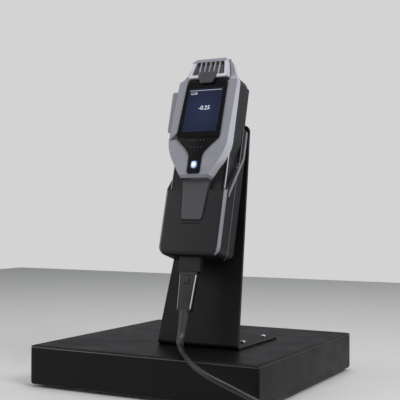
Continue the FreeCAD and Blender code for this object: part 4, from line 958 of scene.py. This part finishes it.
# %% Plug and latch
plug = stack("lead_plug", straight([(36, 8.9), (40, 9.15), (79, 11.3), (79, 10.8), (80, 10.85),
                                    (80, 11.37), (82.3, 11.5)], 36, 44))
round_edges(plug, 1.8, lambda a, b: abs(a.z - b.z) > 20, 4)
weld(plug, box_room(8.2, 37.3, 42.7, 81.3, 93.3))
hollow(plug, box_room(3.4, 42.4, 50, 67.3, 78.1))
# The plug's side bevels take the pale silver: a painted highlight.
dress(plug, 1, lambda m, n: n.y > 0.45 and abs(n.x) > 0.45 and m.z < 80)
fine_edges(plug, 0.4, 2)
finish(plug, ON_PLATE, "stand", "plug_grey", [plug_abs, painted_highlight_silver], "plug_body")
latch = stack("latch_key", [(67.7, 3, 43.4, 44.2), (72.5, 3, 43.4, 44.9), (77.7, 3, 43.4, 44.2)])
fine_edges(latch, 0.4, 3)
finish(latch, ON_PLATE, "plug_latch", "plug_grey", plug_abs, "plug_latch")

# %% Boot along the lead's own line
bare = lead.copy()
bare.data = lead.data.copy()
bare.data.bevel_depth = 0
bpy.context.collection.objects.link(bare)
bpy.context.view_layer.update()
seen = bpy.data.meshes.new_from_object(bare.evaluated_get(bpy.context.evaluated_depsgraph_get()))
lead_line = [vertex.co.copy() for vertex in seen.vertices]
bpy.data.objects.remove(bare)
boot_line = [on_plate(0, 40, 37 - step * 3) for step in range(7)]
travelled = 0
for before, here in zip(lead_line, lead_line[1:]):
    travelled += (here - before).length
    if travelled < 32 * MM:
        boot_line.append(here)
boot_curve = bpy.data.curves.new("boot", "CURVE")
boot_curve.dimensions = "3D"
path = boot_curve.splines.new("POLY")
path.points.add(len(boot_line) - 1)
far = 0
for number, (point, place) in enumerate(zip(path.points, boot_line)):
    far += (place - boot_line[max(number - 1, 0)]).length / MM
    point.co = (*place, 1)
    point.radius = 6.2 - 2.6 * min(far / 52, 1)
boot_curve.bevel_depth = MM
boot_curve.bevel_resolution = 8
boot_curve.use_fill_caps = True
clear_selection()
boot = bpy.data.objects.new("tapered_boot", boot_curve)
bpy.context.collection.objects.link(boot)
pick(boot)
bpy.ops.object.convert(target="MESH")
boot = bpy.context.object
fine_edges(boot, 0.3, 2, 50)
finish(boot, WORLD, "stand", "cord_rubber", boot_pvc, "cord_boot")
print("the boot is", round(far, 1), "mm long")

# %% [markdown]
# ## Mains plug and the coil's tie
# At the lead's other end a moulded plug with two round pins lies beside the coil, and a strap
# holds the coil's turns together.

# %% Mains plug and pins
mains = stack("wall_plug", [(0.05, 13.2, 242, 280), (3, 14.6, 241, 281), (17, 14.6, 241, 281),
                             (20, 13.2, 242, 280)], x=263.5)
round_edges(mains, 4, lambda a, b: abs(a.x - b.x) < 2 and abs(a.y - b.y) < 2
            and abs(a.z - b.z) > 1, 5)
fine_edges(mains, 0.8, 3)
finish(mains, WORLD, "stand", "plug_grey", plug_abs, "mains_plug")
pins = drill(2, 254, 290.5, 10, 19)
pins.name = "wall_plug_pins"
second = drill(2, 273, 290.5, 10, 19)
weld(pins, second)
fine_edges(pins, 0.8, 3)
finish(pins, WORLD, "stand", "gold", gold_plate, "mains_pins")

# %% Strap round the coil
strap = stack("strap", straight([(0.05, 10.8), (14, 10.8)], 194.5, 199.5), x=200.6)
round_edges(strap, 3, lambda a, b: min(a.z, b.z) > 13.9 and abs(a.x - b.x) < 0.1)
strap_room = stack("room", straight([(-1, 9.8), (13, 9.8)], 190, 204), x=200.6)
round_edges(strap_room, 2.2, lambda a, b: min(a.z, b.z) > 12.9 and abs(a.x - b.x) < 0.1)
hollow(strap, strap_room)
fine_edges(strap, 0.25, 2)
finish(strap, WORLD, "stand", "rubber", soft_rubber, "coil_tie")

# %% [markdown]
# ## The measuring window at the back
# The person being measured looks into a coated lens in a black ring behind the head.

# %% Lens and its ring
bezel = drill(16.9, 0, 14.0, 285, 1.6)
bezel.name = "measuring_lens_ring"
hollow(bezel, drill(11.3, 0, 14, 285, 6))
fine_edges(bezel, 0.6, 3)
finish(bezel, ON_PLATE, "handset", "panel_black", inner_abs, "eye_lens_bezel")
clear_selection()
bpy.ops.mesh.primitive_uv_sphere_add(segments=48, ring_count=24, radius=11.85 * MM,
                                     location=(0, -16.05 * MM, 285 * MM))
glass = bpy.context.object
glass.name = "measuring_lens"
glass.scale = (1, 0.097, 1)
place_in_mesh(glass)
bpy.ops.object.shade_smooth()
finish(glass, ON_PLATE, "handset", "lens_glass", lens_coat, "eye_lens")

# %% [markdown]
# ## Screws
# One pan-head screw with a six-sided socket is modelled, then copied to the four places on the
# foot and the four behind the plate.

# %% A screw, copied
def screw(length):
    """A pan-head screw pointing down, its head's underside at the origin."""
    head = drill(3.8, 0, 0, 1.2, 2.4, (0, 0, 0))
    head.name = "screw"
    round_edges(head, 1.0, lambda a, b: min(a.z, b.z) > 2.3, 4)
    clear_selection()
    bpy.ops.mesh.primitive_cylinder_add(vertices=6, radius=1.7 * MM, depth=3 * MM,
                                        location=(0, 0, 2.6 * MM))
    place_in_mesh(bpy.context.object)
    hollow(head, bpy.context.object)
    weld(head, drill(2, 0, 0, -length / 2 + 0.05, length + 0.1, (0, 0, 0)))
    return fine_edges(head, 0.15, 1)


def screw_set(name, length, places, axes, turn, node):
    model = screw(length)
    copies = []
    for x, ahead, up in places:
        copy = model.copy()
        copy.data = model.data.copy()
        bpy.context.collection.objects.link(copy)
        copy.matrix_world = Matrix.Translation((x * MM, -ahead * MM, up * MM)) @ turn
        place_in_mesh(copy)
        copies.append(copy)
    bpy.data.objects.remove(model)
    clear_selection()
    for copy in copies:
        copy.select_set(True)
    bpy.context.view_layer.objects.active = copies[0]
    bpy.ops.object.join()
    copies[0].name = name
    return finish(copies[0], axes, "stand", "steel", zinc_steel, node)


foot_places = [(33.6 + side * 40, ahead, 53) for side in (-1, 1) for ahead in (25, -35)]
screw_set("foot_screws", 11.5, foot_places, WORLD, Matrix.Identity(4), "bracket_screws")
mount_places = [(side * 15, -3, up) for side in (-1, 1) for up in (122, 162)]
screw_set("cradle_screws", 20.5, mount_places, ON_PLATE, Matrix.Rotation(-math.pi / 2, 4, "X"),
          "mount_screws")

# %% [markdown]
# ## Floor, lights and backdrop
# A pale floor, a broad soft light over the right shoulder, a weaker one from the left and one
# from above. The backdrop's paleness is only for the camera and for rays through glass; all
# other rays see a dimmer backdrop, so it adds little light to the black parts.

# %% Floor
clear_selection()
bpy.ops.mesh.primitive_plane_add(size=3.4, location=(0, 0, 0))
floor = bpy.context.object
floor.name = "floor"
floor.data.materials.append(moulded("pale_floor", "#C9C9C7", "#CDCDCB", 0.6, 4, 0.02))

# %% Lights
def soft_light(name, place, towards, wide, watts):
    clear_selection()
    direction = Vector(towards) - Vector(place)
    bpy.ops.object.light_add(type="AREA", location=place,
                             rotation=direction.to_track_quat("-Z", "Y").to_euler())
    lamp = bpy.context.object
    lamp.name = name
    lamp.data.shape = "SQUARE"
    lamp.data.size = wide
    lamp.data.energy = watts
    return lamp


soft_light("key", (1.5, -0.7, 1.5), (0.03, -0.05, 0.2), 0.9, 26)
soft_light("left_fill", (-1.4, -1.1, 0.9), (0.03, -0.05, 0.2), 1.0, 8)
soft_light("overhead", (0.1, 0.1, 1.9), (0.03, -0.02, 0.2), 1.2, 16)

# %% Backdrop
world = bpy.data.worlds.new("backdrop")
bpy.context.scene.world = world
world.use_nodes = True
world.node_tree.nodes.clear()
rays = add(world.node_tree, "ShaderNodeLightPath")
seen_or_through = add(world.node_tree, "ShaderNodeMath",
                      [(0, rays.outputs["Is Camera Ray"]),
                       (1, rays.outputs["Is Transmission Ray"])], operation="MAXIMUM")
dim = add(world.node_tree, "ShaderNodeBackground", Strength=0.35)
dim.inputs["Color"].default_value = hex_colour("#E6E8EC")
pale = add(world.node_tree, "ShaderNodeBackground", Strength=0.8)
pale.inputs["Color"].default_value = hex_colour("#E9E9E9")
choose = add(world.node_tree, "ShaderNodeMixShader",
             [(0, seen_or_through.outputs[0]), (1, dim.outputs[0]), (2, pale.outputs[0])])
add(world.node_tree, "ShaderNodeOutputWorld", [("Surface", choose.outputs[0])])
bpy.context.scene.view_settings.view_transform = "Standard"

# %% Finish
bpy.context.view_layer.update()
